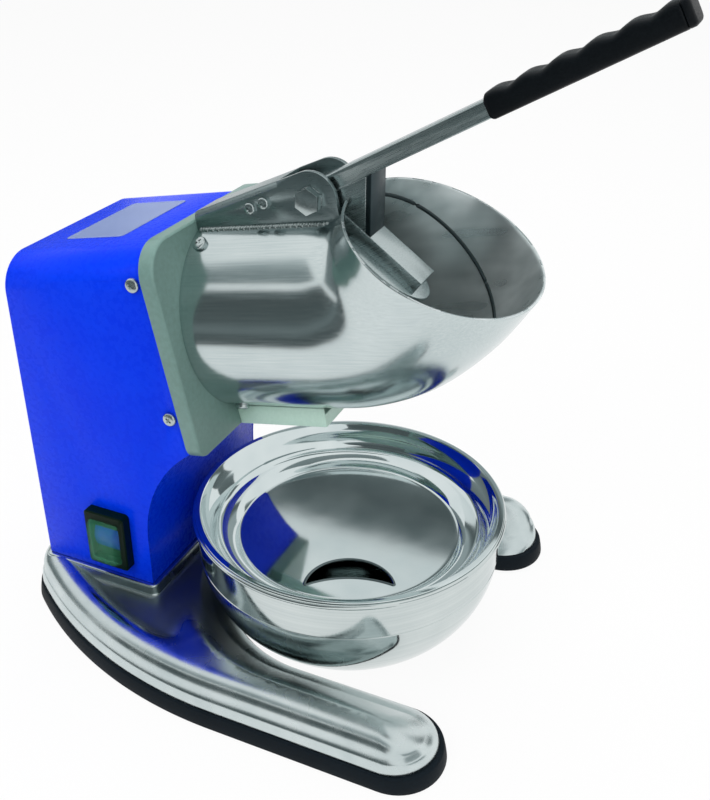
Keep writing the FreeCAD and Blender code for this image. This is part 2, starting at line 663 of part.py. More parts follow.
def build_plate():
    """The painted head casting: plate, disc pot behind it and spigot before it."""
    plate = box("plate_thick", "2 * plate_half", "plate_top + plate_bottom",
                "-plate_thick", "-plate_half", "-plate_bottom")
    plate = rounded(plate, "plate_corner", lambda middle, way: abs(way.x) > 1 and middle.z > 0)
    lowest = 0.1 - dim("tube_radius") - dim("plate_drop")
    plate = rounded(plate, "plate_low_corner",
                    lambda middle, way: abs(way.x) > 1 and middle.z < lowest)
    plate = rounded(plate, "plate_edge", lambda middle, way: middle.x > -1e-3)
    pot = cylinder("pot_radius + pot_wall", "pot_depth", "-plate_thick - pot_depth")
    spigot = ring("tube_radius - tube_wall", "tube_radius - tube_wall - spigot_wall",
                  "spigot_length")
    lugs = [cylinder("bolt_lug_radius", "pot_depth + 1", "-plate_thick - pot_depth",
                      "through_bolt_circle * cos(%d)" % turn,
                      "through_bolt_circle * sin(%d)" % turn) for turn in BOLT_TURNS]
    body = fuse(plate, pot, spigot, *lugs)
    hollow = cylinder("pot_radius", "plate_thick + pot_depth - pot_wall + 1",
                      "-plate_thick - pot_depth + pot_wall")
    window = slab("plate_thick - window_lip", "window_half", "plate_bottom", "1 - plate_thick",
                  "-plate_bottom - window_rim")
    keep = cylinder("pot_radius - window_rim", "pot_depth + plate_thick + spigot_length",
                    "-plate_thick - pot_depth")
    mouth = slab("2 * window_lip", "window_half", "plate_bottom", "-plate_thick / 2",
                 "-tube_radius - chute_sheet - chute_gap - plate_bottom")
    window = fuse(cut(window, keep), mouth)
    bore = cylinder("seal_radius", "pot_depth", "-plate_thick - pot_depth - 1")
    casting = cut(body, hollow, window, bore)
    doc.recompute()
    shape = casting.Shape
    shape = drilled(shape, hopper_screw_places(), dim("hopper_screw_radius"),
                    dim("tube_wall") + dim("spigot_wall"))
    shape = drilled(shape, through_bolt_places(), dim("through_bolt_radius"),
                    through_bolt_length(), 0.0)
    inverse = axis_placement().inverse()
    inside = housing_void()
    inside.Placement = inverse.multiply(inside.Placement)
    half, depth = dim("housing_half") - dim("sheet_metal"), dim("lug_depth")
    rear, lug_half = dim("side_screw_x") - dim("lug_margin"), dim("lug_half")
    for y in (-half, half - depth):
        for z in (-dim("side_screw_z") - lug_half, dim("side_screw_z") - lug_half):
            lug = Part.makeBox(-rear - dim("plate_thick"), depth, 2 * lug_half, Vector(rear, y, z))
            shape = shape.fuse(lug.common(inside))
    sides = [(inverse.multVec(point), outward) for point, outward in side_screw_places()]
    shape = drilled(shape, sides, dim("side_screw_radius"), dim("side_screw_length"))
    feature("front_plate", shape, "axis")
    seal = ring("seal_radius", "shaft_radius + 0.3", "pot_wall", "-plate_thick - pot_depth")
    node("shaft_seal", seal, "axis")


def mouth_sections():
    """The scoop's sections, from the tube to the rim: top point, bottom point, half width."""
    radius, start = dim("tube_radius"), dim("tube_length")
    sections = [(Vector(start, 0, radius), Vector(start, 0, -radius), radius)]
    names = (("lip_x1", None, "scoop_x1", "scoop_rise1", None),
             ("lip_x2", "lip_rise2", "scoop_x2", "scoop_rise2", "scoop_wide2"),
             ("lip_x3", "lip_rise3", "scoop_x3", "scoop_rise3", "scoop_wide3"),
             ("lip_x4", "lip_rise4", "scoop_x4", "scoop_rise4", "scoop_wide4"))
    for row in names:
        top_x, top_up, low_x, low_up, wide = [dim(name) if name else 0.0 for name in row]
        sections.append((Vector(start + top_x, 0, radius + top_up),
                         Vector(start + low_x, 0, low_up - radius), radius + wide))
    return sections


def mouth_loft(inset):
    """The scoop's solid form, moved in by a wall."""
    wires = []
    for top, bottom, half in mouth_sections():
        up = (top - bottom) * 0.5
        centre = bottom + up
        height = up.Length - inset
        upward = up.normalize()
        wide = half - inset
        across = Vector(0, 1, 0)
        normal = upward.cross(across)
        matrix = Matrix(upward.x * height, across.x * wide, normal.x, centre.x,
                        upward.y * height, across.y * wide, normal.y, centre.y,
                        upward.z * height, across.z * wide, normal.z, centre.z,
                        0, 0, 0, 1)
        wires.append(Part.Wire([Part.makeCircle(1.0).transformGeometry(matrix)]))
    return Part.makeLoft(wires, True, False)


def build_hopper():
    """Tube, scoop mouth, radial screws and discharge chute."""
    screws = hopper_screw_places()
    radius, wall, length = dim("tube_radius"), dim("tube_wall"), dim("tube_length")
    tube = Part.makeCylinder(radius, length, Vector(), Vector(1, 0, 0))
    tube = tube.cut(Part.makeCylinder(radius - wall, length, Vector(), Vector(1, 0, 0)))
    tube = drilled(tube, screws, dim("hopper_screw_radius"), dim("hopper_screw_length"))
    feature("hopper_tube", tube, "axis")
    mouth = mouth_loft(0.0).cut(mouth_loft(wall))
    inner = dim("bracket_half") - dim("bracket_sheet")
    slot = Part.makeBox(length, 2 * inner, 2 * radius,
                        Vector(length + dim("slot_margin"), dim("lever_y") - inner, radius / 3))
    feature("hopper_mouth", mouth.cut(slot), "axis")
    feature("hopper_screws", screws_at(screws, dim("hopper_screw_radius"),
                                       dim("hopper_screw_length")), "axis")

    low, sheet_thick = "-chute_low", "chute_sheet"
    side_top = "-sqrt(tube_radius ^ 2 - (chute_half - chute_sheet) ^ 2) - 0.3"
    side_height = "%s + chute_low" % side_top
    roof = "-tube_radius - chute_sheet - chute_gap"
    sides = [box("chute_length", sheet_thick, side_height, "0", y, low)
             for y in ("-chute_half", "chute_half - chute_sheet")]
    top = slab("chute_length", "chute_half", sheet_thick, "0", roof)
    front = slab(sheet_thick, "chute_half", "chute_low - tube_radius - chute_gap",
                 "chute_length - chute_sheet", low)
    node("discharge_chute", fuse(top, front, *sides), "axis")


def bracket_profile(inset):
    """The bracket's side in the axis frame; inset lowers its top for the sheet's inside."""
    ahead, radius = dim("pivot_ahead"), dim("bracket_round")
    up = dim("tube_radius") + dim("pivot_rise")
    rear_top = Vector(0, 0, dim("tube_radius") + dim("bracket_rise"))
    centre = Vector(ahead, 0, up)
    gap = rear_top - centre
    turn = math.acos(radius / gap.Length) - math.atan2(gap.z, gap.x)
    tangent = centre + Vector(radius * math.cos(turn), 0, -radius * math.sin(turn))
    slope = (tangent - rear_top).normalize()
    normal = Vector(slope.z, 0, -slope.x)
    drop = normal * inset
    front_side = centre + Vector(radius, 0, 0)
    angle = (math.atan2(tangent.z - up, tangent.x - ahead)) / 2
    middle = centre + Vector(radius * math.cos(angle), 0, radius * math.sin(angle))
    low = dim("tube_radius") / 2
    corners = [front_side, Vector(front_side.x, 0, low), Vector(0, 0, low), rear_top, tangent]
    lines = [Part.LineSegment(first, last).toShape()
             for first, last in zip(corners[:-1], corners[1:])]
    arc = Part.Arc(front_side, middle, tangent).toShape()
    face = Part.Face(Part.Wire(Part.__sortEdges__(lines + [arc])))
    face.translate(drop)
    return face


def micro_screw_places():
    """Seats of the safety switch's screws on the bracket's near cheek, in the axis frame."""
    slope = math.radians(dim("micro_slope"))
    near = dim("lever_y") - dim("bracket_half")
    half = dim("micro_pitch") / 2
    up = dim("tube_radius") + dim("micro_rise")
    return [(Vector(dim("micro_x") + side * half * math.cos(slope), near,
                    up + side * half * math.sin(slope)), Vector(0, -1, 0))
            for side in (-1, 1)]


def build_bracket():
    """The folded bracket on the tube, its weld beads and the safety switch in it."""
    half, sheet_thick, mid = dim("bracket_half"), dim("bracket_sheet"), dim("lever_y")
    outer = bracket_profile(0.0)
    outer.translate(Vector(0, mid - half, 0))
    solid = outer.extrude(Vector(0, 2 * half, 0))
    tops = [edge for edge in solid.Edges if edge.Curve.TypeId == "Part::GeomLine"
            and edge.CenterOfMass.z > dim("tube_radius") + dim("bracket_rise")
            and abs(edge.tangentAt(edge.FirstParameter).y) < 0.1]
    solid = solid.makeFillet(dim("bracket_bend"), tops)
    inner = bracket_profile(sheet_thick)
    inner.translate(Vector(0, mid - half + sheet_thick, 0))
    void = inner.extrude(Vector(0, 2 * (half - sheet_thick), 0))
    below = dim("tube_radius") - 2 * sheet_thick
    void = void.fuse(Part.makeBox(2 * sheet_thick, 2 * (half - sheet_thick), below,
                                  Vector(-sheet_thick, mid - half + sheet_thick, 0)))
    reach, high = 2 * dim("pivot_ahead"), 2 * (dim("tube_radius") + dim("pivot_rise"))
    ahead = Part.makeBox(reach, 2 * (half - sheet_thick), high,
                         Vector(dim("web_front"), mid - half + sheet_thick, 0))
    notch = Part.makeBox(reach, 2 * half, high, Vector(dim("web_front"), mid - half, 0))
    corner = solid.common(notch)
    plain = bracket_profile(0.0)
    plain.translate(Vector(0, mid - half, 0))
    cheeks = plain.extrude(Vector(0, 2 * half, 0)).common(notch)
    solid = solid.cut(corner).fuse(cheeks)
    tube = Part.makeCylinder(dim("tube_radius"), dim("tube_length"), Vector(), Vector(1, 0, 0))
    form = tube.fuse(mouth_loft(0.0))
    bracket = solid.cut(void).cut(ahead).cut(form)
    pivot = Vector(dim("pivot_ahead"), mid - half - sheet_thick,
                   dim("tube_radius") + dim("pivot_rise"))
    bore = Part.makeCylinder(dim("bolt_radius"), 2 * (half + sheet_thick), pivot, Vector(0, 1, 0))
    bracket = drilled(bracket.cut(bore), micro_screw_places(), dim("micro_screw_radius"),
                      2 * sheet_thick)
    feature("lever_bracket", bracket, "axis")

    bead = dim("weld_radius")
    beads = []
    for side in (-1, 1):
        y = mid + side * (half + 0.5)
        z = math.sqrt(dim("tube_radius") ** 2 - y ** 2) + 0.3
        run = Part.makeCylinder(bead, dim("pivot_ahead") + 9, Vector(2, y, z), Vector(1, 0, 0))
        beads.append(run.cut(form).cut(solid))
    feature("bracket_weld", Part.makeCompound([bit for run in beads for bit in run.Solids]),
            "axis")

    near = "lever_y - bracket_half + bracket_sheet"
    turn = Rotation(Vector(0, -1, 0), dim("micro_slope"))
    body = box("micro_length", "micro_width", "micro_height")
    place(body, "micro_x - (micro_length * cos(micro_slope) - micro_height * sin(micro_slope)) / 2",
          near, "tube_radius + micro_rise"
          " - (micro_length * sin(micro_slope) + micro_height * cos(micro_slope)) / 2", turn)
    doc.recompute()
    screw, depth = dim("micro_screw_radius"), dim("micro_screw_length")
    shape = drilled(body.Shape, micro_screw_places(), screw, depth)
    slope = math.radians(dim("micro_slope"))
    forward = Vector(math.cos(slope), 0, math.sin(slope))
    centre = Vector(dim("micro_x"), dim("lever_y") - half + sheet_thick + dim("micro_width") / 2,
                    dim("tube_radius") + dim("micro_rise"))
    inside = dim("micro_length") / 2 - dim("micro_button_in")
    length = dim("micro_button_in") + dim("micro_button_out")
    well_depth = dim("micro_stroke") + 4 * dim("rocker_fit")
    well = Part.makeCylinder(dim("micro_button_radius") + dim("rocker_fit"), length + well_depth,
                             centre + forward * (inside - well_depth), forward)
    feature("safety_switch_body", shape.cut(well), "axis")
    button = Part.makeCylinder(dim("micro_button_radius"), length, centre + forward * inside,
                               forward)
    feature("safety_switch_plunger", button, "axis")
    feature("safety_switch_screws", screws_at(
        micro_screw_places(), screw, depth, dim("micro_screw_head"), dim("micro_screw_high")),
        "axis")


# ---------------------------------------------------------------- lever

def build_pivot():
    """Bolt, washers and nut of the lever's pivot, which the bracket holds."""
    near, far = "-bracket_half", "bracket_half"
    head = cylinder("bolt_radius * 1.75", "0.4", "0", "%s - 0.4" % near, along="Y")
    hexagon = prism(6, "bolt_radius * 1.88", "bolt_radius * 1.3", "0",
                    "%s - 0.4 - bolt_radius * 1.3" % near)
    shank = cylinder("bolt_radius", "2 * bracket_half + bolt_radius * 2.4", "0", near, along="Y")
    node("pivot_bolt", fuse(hexagon, head, shank), "lever")
    nut = prism(6, "bolt_radius * 1.88", "bolt_radius * 1.6", "0", far)
    node("pivot_nut", cut(nut, cylinder("bolt_radius", "20", "0", "%s - 1" % far, along="Y")),
         "lever")
    thick = "bracket_half - bracket_sheet - bar_width / 2 - side_gap"
    washers = [ring("washer_radius", "bolt_radius", thick, "0", y, along="Y")
               for y in ("-bracket_half + bracket_sheet", "bar_width / 2 + side_gap")]
    node("pivot_washers", fuse(*washers), "lever")


def pusher_point(along, off):
    """A point of the pusher's plane: along it from the pivot, and off it towards the ice."""
    angle = math.radians(dim("pusher_angle"))
    way = Vector(math.cos(angle), 0, -math.sin(angle))
    towards = Vector(-math.sin(angle), 0, -math.cos(angle))
    return way * along + towards * off


def extruded(points, y_low, y_high):
    """A flat polygon in XZ, extruded between two values of Y."""
    face = Part.Face(Part.makePolygon(list(points) + [points[0]]))
    face.translate(Vector(0, y_low, 0))
    return face.extrude(Vector(0, y_high - y_low, 0))


def build_lever():
    """Bar with its boss and bush, grip, end cap, and the pusher below it."""
    bar = slab("grip_end - bar_margin - bar_rear", "bar_width / 2", "bar_height", "bar_rear",
               "bar_rise - bar_height / 2")
    boss = cylinder("boss_radius", "bar_width", "0", "-bar_width / 2", along="Y")
    hole = cylinder("bush_radius", "bar_width + 2", "0", "-bar_width / 2 - 1", along="Y")
    node("lever_arm", cut(fuse(bar, boss), hole), "lever")
    bush = ring("bush_radius", "bolt_radius + bolt_fit", "bar_width", "0", "-bar_width / 2",
                along="Y")
    node("pivot_bush", bush, "lever")

    wall, wave, rise = dim("grip_wall"), dim("grip_wave"), dim("bar_rise")
    half_width, half_height = dim("bar_width") / 2 + wall, dim("bar_height") / 2 + wall
    start, end = dim("grip_start"), dim("grip_end")
    waves = int(dim("grip_waves"))
    pitch = (end - start) / (waves + 0.5)
    low, high = rise - half_height, rise + half_height
    edges = []
    crest = Vector(start + 0.25 * pitch, 0, high + wave)
    first = crest
    for index in range(waves):
        following = Vector(start + (index + 1.25) * pitch, 0, high + wave)
        middle = Vector((crest.x + following.x) / 2, 0, high)
        edges.append(Part.Arc(crest, middle, following).toShape())
        crest = following
    corners = [crest, Vector(end, 0, high + wave), Vector(end, 0, low), Vector(start, 0, low),
               Vector(start, 0, high), first]
    edges += [Part.LineSegment(one, two).toShape() for one, two in zip(corners[:-1], corners[1:])]
    face = Part.Face(Part.Wire(Part.__sortEdges__(edges)))
    face.translate(Vector(0, -half_width, 0))
    grip = face.extrude(Vector(0, 2 * half_width, 0))
    grip = grip.makeFillet(1.8, [edge for edge in grip.Edges if edge.Length > 0.8 * (end - start)])
    tunnel = Part.makeBox(end - start + 2, dim("bar_width"), dim("bar_height"),
                          Vector(start - 1, -dim("bar_width") / 2, rise - dim("bar_height") / 2))
    feature("lever_grip", grip.cut(tunnel), "lever")
    cap = box("cap_length", "bar_width + 2 * grip_wall", "bar_height + 2 * grip_wall + grip_wave",
              "grip_end", "-bar_width / 2 - grip_wall", "bar_rise - bar_height / 2 - grip_wall")
    plug = slab("bar_margin", "bar_width / 2 - 1", "bar_height - 2", "grip_end - bar_margin",
                "bar_rise - bar_height / 2 + 1")
    cap = rounded(cap, "grip_wall", lambda middle, way: middle.x > dim("grip_end") + 1)
    node("grip_end_cap", fuse(cap, plug), "lever")
    build_pusher()


def build_pusher():
    """Gusset, strut, channel and working plate, welded together under the bar."""
    half, thick = dim("bar_width") / 2, dim("pusher_thick")
    off, radius = dim("pusher_offset"), dim("pusher_radius")
    centre = pusher_point(dim("pusher_centre"), off)
    towards = pusher_point(0, 1)
    plate = Part.makeCylinder(radius, thick, centre, towards)
    feature("pusher_plate", plate, "lever")

    depth, sheet_thick = dim("channel_depth"), dim("channel_sheet")
    first, last = dim("channel_start"), dim("channel_end")

    def channel(near, far, low, high, side):
        corners = [pusher_point(near, low), pusher_point(near, high), pusher_point(far, high),
                   pusher_point(far, low)]
        return extruded(corners, -side, side)

    outer = channel(first, last, off - depth, off, half)
    inner = channel(first - 1, last + 1, off - depth + sheet_thick, off + 1, half - sheet_thick)
    under_bar = dim("bar_rise") - dim("bar_height") / 2
    foot_angle = math.radians(dim("lever_angle"))
    down = Vector(-math.sin(foot_angle), 0, -math.cos(foot_angle))
    ahead = Vector(math.cos(foot_angle), 0, -math.sin(foot_angle))
    top = Vector(dim("strut_top"), 0, under_bar)
    normal = pusher_point(0, 1)
    seat = pusher_point(0, off - depth)
    reach = (seat - top).dot(normal) / down.dot(normal)
    foot = top + down * reach
    behind = ahead * -dim("strut_thick")
    foot_behind = top + behind
    foot_behind = foot_behind + down * ((seat - foot_behind).dot(normal) / down.dot(normal))
    rise = (under_bar - (top + behind).z) / -down.z
    top_behind = top + behind - down * rise
    strut = extruded([top, foot, foot_behind, top_behind], -half, half)
    feature("pusher_strut", strut, "lever")
    feature("pusher_channel", outer.cut(inner), "lever")

    gusset_start = pusher_point(first, off - depth)
    corners = [Vector(0, 0, under_bar), top_behind, foot_behind, gusset_start,
               Vector(gusset_start.x - 6, 0, gusset_start.z + 4)]
    gusset = extruded(corners, -half, -half + dim("gusset_thick"))
    boss = Part.makeCylinder(dim("boss_radius"), 3 * half, Vector(0, -1.5 * half, 0),
                             Vector(0, 1, 0))
    feature("pusher_gusset", gusset.cut(boss), "lever")


# ---------------------------------------------------------------- motor and disc

STATOR_FRONT = "-plate_thick - pot_depth - bell_depth"
STATOR_REAR = "-plate_thick - pot_depth - bell_depth - stator_length"
BELL_REAR = "-plate_thick - pot_depth - 2 * bell_depth - stator_length"
FAN_FRONT = "-plate_thick - pot_depth - 2 * bell_depth - stator_length - fan_gap"


def through_bolt_length():
    """From the rear bell's face to a thread depth in the pot's wall."""
    length = -dim("housing_rear") - dim("motor_margin")
    return 2 * dim("bell_depth") + length + 11.0


def through_bolt_places():
    """Seats of the four bolts that clamp the motor to the pot, in the axis frame."""
    seat = number(BELL_REAR)
    circle = dim("through_bolt_circle")
    places = []
    for turn in BOLT_TURNS:
        angle = math.radians(turn)
        places.append((Vector(seat, circle * math.cos(angle), circle * math.sin(angle)),
                       Vector(-1, 0, 0)))
    return places


def bell(front_face, opening_front):
    """An end bell: a cup with a bearing seat, and lugs for the through bolts."""
    cup = cylinder("bell_radius", "bell_depth", front_face)
    lugs = [cylinder("bolt_lug_radius", "bell_depth", front_face,
                     "through_bolt_circle * cos(%d)" % turn, "through_bolt_circle * sin(%d)" % turn)
            for turn in BOLT_TURNS]
    room_length = "bell_depth - bell_wall - bearing_width"
    room_x, seat_x = front_face, "%s + %s" % (front_face, room_length)
    if opening_front:
        room_x = "%s + bell_wall + bearing_width" % front_face
        seat_x = "%s + bell_wall" % front_face
    room = cylinder("bell_radius - bell_wall", room_length, room_x)
    seat = cylinder("bearing_radius", "bearing_width", seat_x)
    bore = cylinder("shaft_radius + 1", "bell_depth + 2", "%s - 1" % front_face)
    bolts = [cylinder("through_bolt_radius", "bell_depth + 2", "%s - 1" % front_face,
                      "through_bolt_circle * cos(%d)" % turn,
                      "through_bolt_circle * sin(%d)" % turn) for turn in BOLT_TURNS]
    return cut(fuse(cup, *lugs), room, seat, bore, *bolts), seat_x


def build_motor():
    """Induction motor on the pot: bells, stator, windings, rotor, shaft, bearings, fan."""
    front, front_seat = bell(STATOR_FRONT, False)
    rear, rear_seat = bell(BELL_REAR, True)
    node("motor_front_bell", front, "axis")
    node("motor_rear_bell", rear, "axis")
    for name, seat in (("front_bearing", front_seat), ("rear_bearing", rear_seat)):
        bearing = ring("bearing_radius", "shaft_radius + shaft_fit", "bearing_width", seat)
        node(name, bearing, "axis")
    stator = ring("stator_radius", "stator_bore", "stator_length", STATOR_REAR)
    node("motor_stator", stator, "axis")
    room = "bell_depth - bell_wall - bearing_width"
    coils = [ring("winding_outer", "winding_inner", room, x)
             for x in (STATOR_FRONT, "%s - (%s)" % (STATOR_REAR, room))]
    node("motor_windings", fuse(*coils), "axis")
    rotor = ring("stator_bore - rotor_gap", "shaft_radius", "stator_length", STATOR_REAR)
    node("motor_rotor", rotor, "axis")
    tail = "%s - fan_width" % FAN_FRONT
    shaft = cylinder("shaft_radius", "disc_x + disc_thick + nut_length - 2 - (%s)" % tail, tail)
    node("motor_shaft", shaft, "axis")
    hub = ring("shaft_radius * 2", "shaft_radius", "fan_width", tail)
    back = ring("fan_radius", "shaft_radius * 1.9", "1.5", "%s + fan_width - 1.5" % tail)

    def vane():
        return box("fan_width - 1", "1.6", "fan_radius - shaft_radius * 1.9", tail, "-0.8",
                   "shaft_radius * 1.9")

    vanes = turned_copies(vane, int(dim("fan_blades")))
    node("cooling_fan", fuse(hub, back, *vanes), "axis")
    feature("motor_bolts", screws_at(through_bolt_places(), dim("through_bolt_radius"),
                                     through_bolt_length(), 3.6, 2.6), "axis")


def blade_frame(index):
    """The turn that carries the first blade to its own place on the disc."""
    return Rotation(Vector(1, 0, 0), 360.0 * index / int(dim("blade_count")))


def blade_screw_places():
    """Seats of the screws that hold the blades on the disc, in the axis frame."""
    seat = dim("disc_x") + dim("disc_thick") + dim("blade_thick")
    half = dim("blade_screw_pitch") / 2
    offset = dim("blade_offset")
    return [(blade_frame(index).multVec(Vector(seat, -3.5, offset + side * half)),
             Vector(1, 0, 0)) for index in range(int(dim("blade_count"))) for side in (-1, 1)]


def build_disc():
    """The blade disc in the spigot, its blades, their screws and the spindle nut."""
    count = int(dim("blade_count"))
    front = dim("disc_x") + dim("disc_thick")
    radius = dim("tube_radius") - dim("tube_wall") - dim("spigot_wall") - dim("disc_gap")
    disc = Part.makeCylinder(radius, dim("disc_thick"), Vector(dim("disc_x"), 0, 0),
                             Vector(1, 0, 0))
    disc = disc.cut(Part.makeCylinder(dim("shaft_radius"), 2 * front, Vector(-front / 2, 0, 0),
                                      Vector(1, 0, 0)))
    long, wide = dim("blade_length"), dim("blade_width")
    blades = []
    for index in range(count):
        slot = Part.makeBox(2 * front, dim("slot_width"), long - 4,
                            Vector(-front / 2, 3.5, dim("blade_offset") - (long - 4) / 2))
        blade = Part.makeBox(dim("blade_thick"), wide, long,
                             Vector(front, -wide + 5, dim("blade_offset") - long / 2))
        bevel = Part.makeBox(10, wide, long + 2, Vector(0, 0, -1))
        bevel.rotate(Vector(), Vector(0, 0, 1), -30)
        bevel.translate(Vector(front, 5, dim("blade_offset") - long / 2))
        blade = blade.cut(bevel)
        turn = Placement(Vector(), blade_frame(index))
        slot.Placement, blade.Placement = turn.multiply(slot.Placement), turn.multiply(
            blade.Placement)
        disc = disc.cut(slot)
        blades.append(blade)
    screw, depth = dim("blade_screw_radius"), dim("blade_thick") + dim("disc_thick")
    disc = drilled(disc, blade_screw_places(), screw, depth)
    feature("blade_disc", disc, "axis")
    blades = [drilled(blade, blade_screw_places(), screw, depth) for blade in blades]
    feature("ice_blades", Part.makeCompound(blades), "axis")
    feature("blade_screws", screws_at(blade_screw_places(), screw, depth, 3.4, 1.8), "axis")
    nut = prism(6, "nut_radius", "nut_length", "disc_x + disc_thick", along="X")
    node("spindle_nut", cut(nut, cylinder("shaft_radius", "nut_length - 2",
                                          "disc_x + disc_thick")), "axis")


# ---------------------------------------------------------------- electrics

def build_electrics():
    """Capacitor and clamp, terminal block, rocker switch with cover, cord gland."""
    cap_y = "-capacitor_length / 2 + 12"
    node("run_capacitor", cylinder("capacitor_radius", "capacitor_length", "capacitor_x", cap_y,
                                   "capacitor_z", along="Y"))
    floor = "foot_top + floor_sheet"
    strap = ring("capacitor_radius + 1.5", "capacitor_radius", "clamp_width", "capacitor_x",
                 "12 - clamp_width / 2", "capacitor_z", along="Y")
    foot = cut(box("12", "clamp_width", "capacitor_z - (%s)" % floor, "capacitor_x - 6",
                   "12 - clamp_width / 2", floor),
               cylinder("capacitor_radius + 0.5", "clamp_width + 2", "capacitor_x",
                        "11 - clamp_width / 2", "capacitor_z", along="Y"))
    node("capacitor_clamp", fuse(strap, foot))
    node("terminal_block", box("terminal_width", "terminal_length", "terminal_height",
                               "housing_front - sheet_metal - terminal_width - 4",
                               "-terminal_length / 2 + 10", floor))

    outer_y = "-housing_half - bezel_out"
    frame = box("bezel_width", "bezel_out", "bezel_height", "switch_x - bezel_width / 2", outer_y,
                "switch_z - bezel_height / 2")
    inner_width, inner_height = "bezel_width - 3", "bezel_height - 3"
    barrel = box(inner_width, "bezel_depth", inner_height, "switch_x - (%s) / 2" % inner_width,
                 "-housing_half", "switch_z - (%s) / 2" % inner_height)
    well_width, well_height = "rocker_width + 2 * rocker_gap", "rocker_height + 2 * rocker_gap"
    pin_y = "-housing_half + rocker_height / 2 - rocker_out"
    well = box(well_width, "rocker_height / 2 - rocker_out + bezel_out + rocker_hub + 2",
               well_height, "switch_x - (%s) / 2" % well_width, "%s - 1" % outer_y,
               "switch_z - (%s) / 2" % well_height)
    pin = cylinder("rocker_pin", well_width, "switch_x - (%s) / 2" % well_width, pin_y, "switch_z")
    node("switch_bezel", fuse(cut(fuse(frame, barrel), well), pin))
    across = "-rocker_width / 2"
    face = common(
        box("rocker_width", "rocker_height / 3", "rocker_height", across,
            "-rocker_height / 2 - 1", "-rocker_height / 2"),
        cylinder("rocker_height / 2 + 0.2", "rocker_width", across))
    web = box("rocker_width", "rocker_height / 4", "4", across, "-rocker_height / 4", "-2")
    hub = cylinder("rocker_hub", "rocker_width", across)
    bore = cylinder("rocker_pin + rocker_fit", "rocker_width + 2", "%s - 1" % across)
    rocker = doc.addObject("Part::Compound", "Rocker")
    rocker.Links = [cut(fuse(face, web, hub), bore)]
    rocker.Placement = Placement(Vector(), Rotation(Vector(1, 0, 0), 1))
    for axis, text in zip("xyz", ("switch_x", pin_y, "switch_z")):
        bind(rocker, ".Placement.Base." + axis, text)
    bind(rocker, ".Placement.Rotation.Angle", "rocker_tilt")
    node("switch_rocker", rocker)
    cover_y = "-housing_half - cover_out"
    shell_width, shell_height = "bezel_width - cover_inset", "bezel_height - cover_inset"
    shell = box(shell_width, "cover_out - bezel_out", shell_height,
                "switch_x - (%s) / 2" % shell_width, cover_y, "switch_z - (%s) / 2" % shell_height)
    room = box("%s - 2 * cover_wall" % shell_width, "cover_out", "%s - 2 * cover_wall" %
               shell_height, "switch_x - (%s) / 2 + cover_wall" % shell_width,
               "%s + cover_wall" % cover_y, "switch_z - (%s) / 2 + cover_wall" % shell_height)
    node("switch_cover", cut(shell, room))

    rear = "housing_rear"
    flange = cylinder("gland_radius", "4", "%s - 4" % rear, "gland_y", "gland_z")
    barrel = cylinder("gland_radius - gland_flange", "gland_length", "%s - 4" % rear, "gland_y", "gland_z")
    bore = cylinder("gland_bore", "gland_length + 2", "%s - 5" % rear, "gland_y", "gland_z")
    node("cord_gland", cut(fuse(flange, barrel), bore))


# ---------------------------------------------------------------- bowl

def build_bowl():
    """Spun bowl with a rolled rim, and the drain tray that hangs in it."""
    roll_low = "bowl_height - bowl_roll"
    inside = "bowl_band - bowl_wall"
    outer_points = [
        ("0", "0"), ("bowl_foot", "0"), ("bowl_band", "bowl_crease"), ("bowl_band", roll_low),
        ("bowl_rim", "%s + 0.8" % roll_low), ("bowl_rim", "bowl_height - 0.9"),
        ("bowl_rim - 1.2", "bowl_height"), (inside, "bowl_height"), (inside, "bowl_crease"),
        ("bowl_foot", "bowl_wall"), ("0", "bowl_wall")]
    arcs = {1: ("bowl_curve", 1), 8: ("bowl_curve - bowl_wall", -1)}
    node("bowl", turned_body(outer_points, arcs))

    edge = "bowl_band - bowl_wall - tray_gap"
    lip = "bowl_height + 0.1"
    tray_points = [
        ("0", "tray_floor"), ("tray_radius", "tray_floor"), ("tray_step", "tray_step_z"),
        (edge, "bowl_height - 3"), (edge, lip), ("tray_lip", lip),
        ("tray_lip", "%s + tray_sheet" % lip), ("%s - tray_sheet" % edge, "%s + tray_sheet" % lip),
        ("%s - tray_sheet" % edge, "bowl_height - 2.4"),
        ("tray_step - 0.6", "tray_step_z + tray_sheet"),
        ("tray_radius - 0.3", "tray_floor + tray_sheet"), ("0", "tray_floor + tray_sheet")]
    tray = turned_body(tray_points)
    tips = [("crescent_reach", "-crescent_half"), ("crescent_reach", "crescent_half")]
    pocket(tray, "XY_Plane", tips, "4 * tray_floor",
           {0: ("crescent_inner", -1), 1: ("crescent_outer", 1)})
    node("bowl_tray", tray)
    tray.Placement = Placement(Vector(), Rotation(Vector(0, 0, 1), 1))
    bind(tray, ".Placement.Rotation.Angle", "crescent_angle")


build_base()
build_housing()
build_plate()
build_hopper()
build_bracket()
build_pivot()
build_lever()
build_motor()
build_disc()
build_electrics()
build_bowl()

doc.recompute()
for obj in doc.Objects:
    if {"Invalid", "Error"} & set(obj.State):
        raise RuntimeError("%s (%s) failed: %s" % (obj.Name, obj.Label, obj.State))
for obj in nodes:
    if obj.Shape.isNull() or not obj.Shape.isValid() or not obj.Shape.Solids:
        raise RuntimeError("%s has no valid solid" % obj.Label)

os.makedirs("parts", exist_ok=True)
for obj in nodes:
    obj.Shape.exportStep("parts/%s.step" % obj.Label)
print("%d nodes" % len(nodes))
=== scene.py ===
import json
import logging
import math
from dataclasses import dataclass, field
from enum import Enum
from typing import Iterable, Optional, Sequence

import bmesh
import bpy
from mathutils import Matrix, Vector
from mathutils.geometry import delaunay_2d_cdt


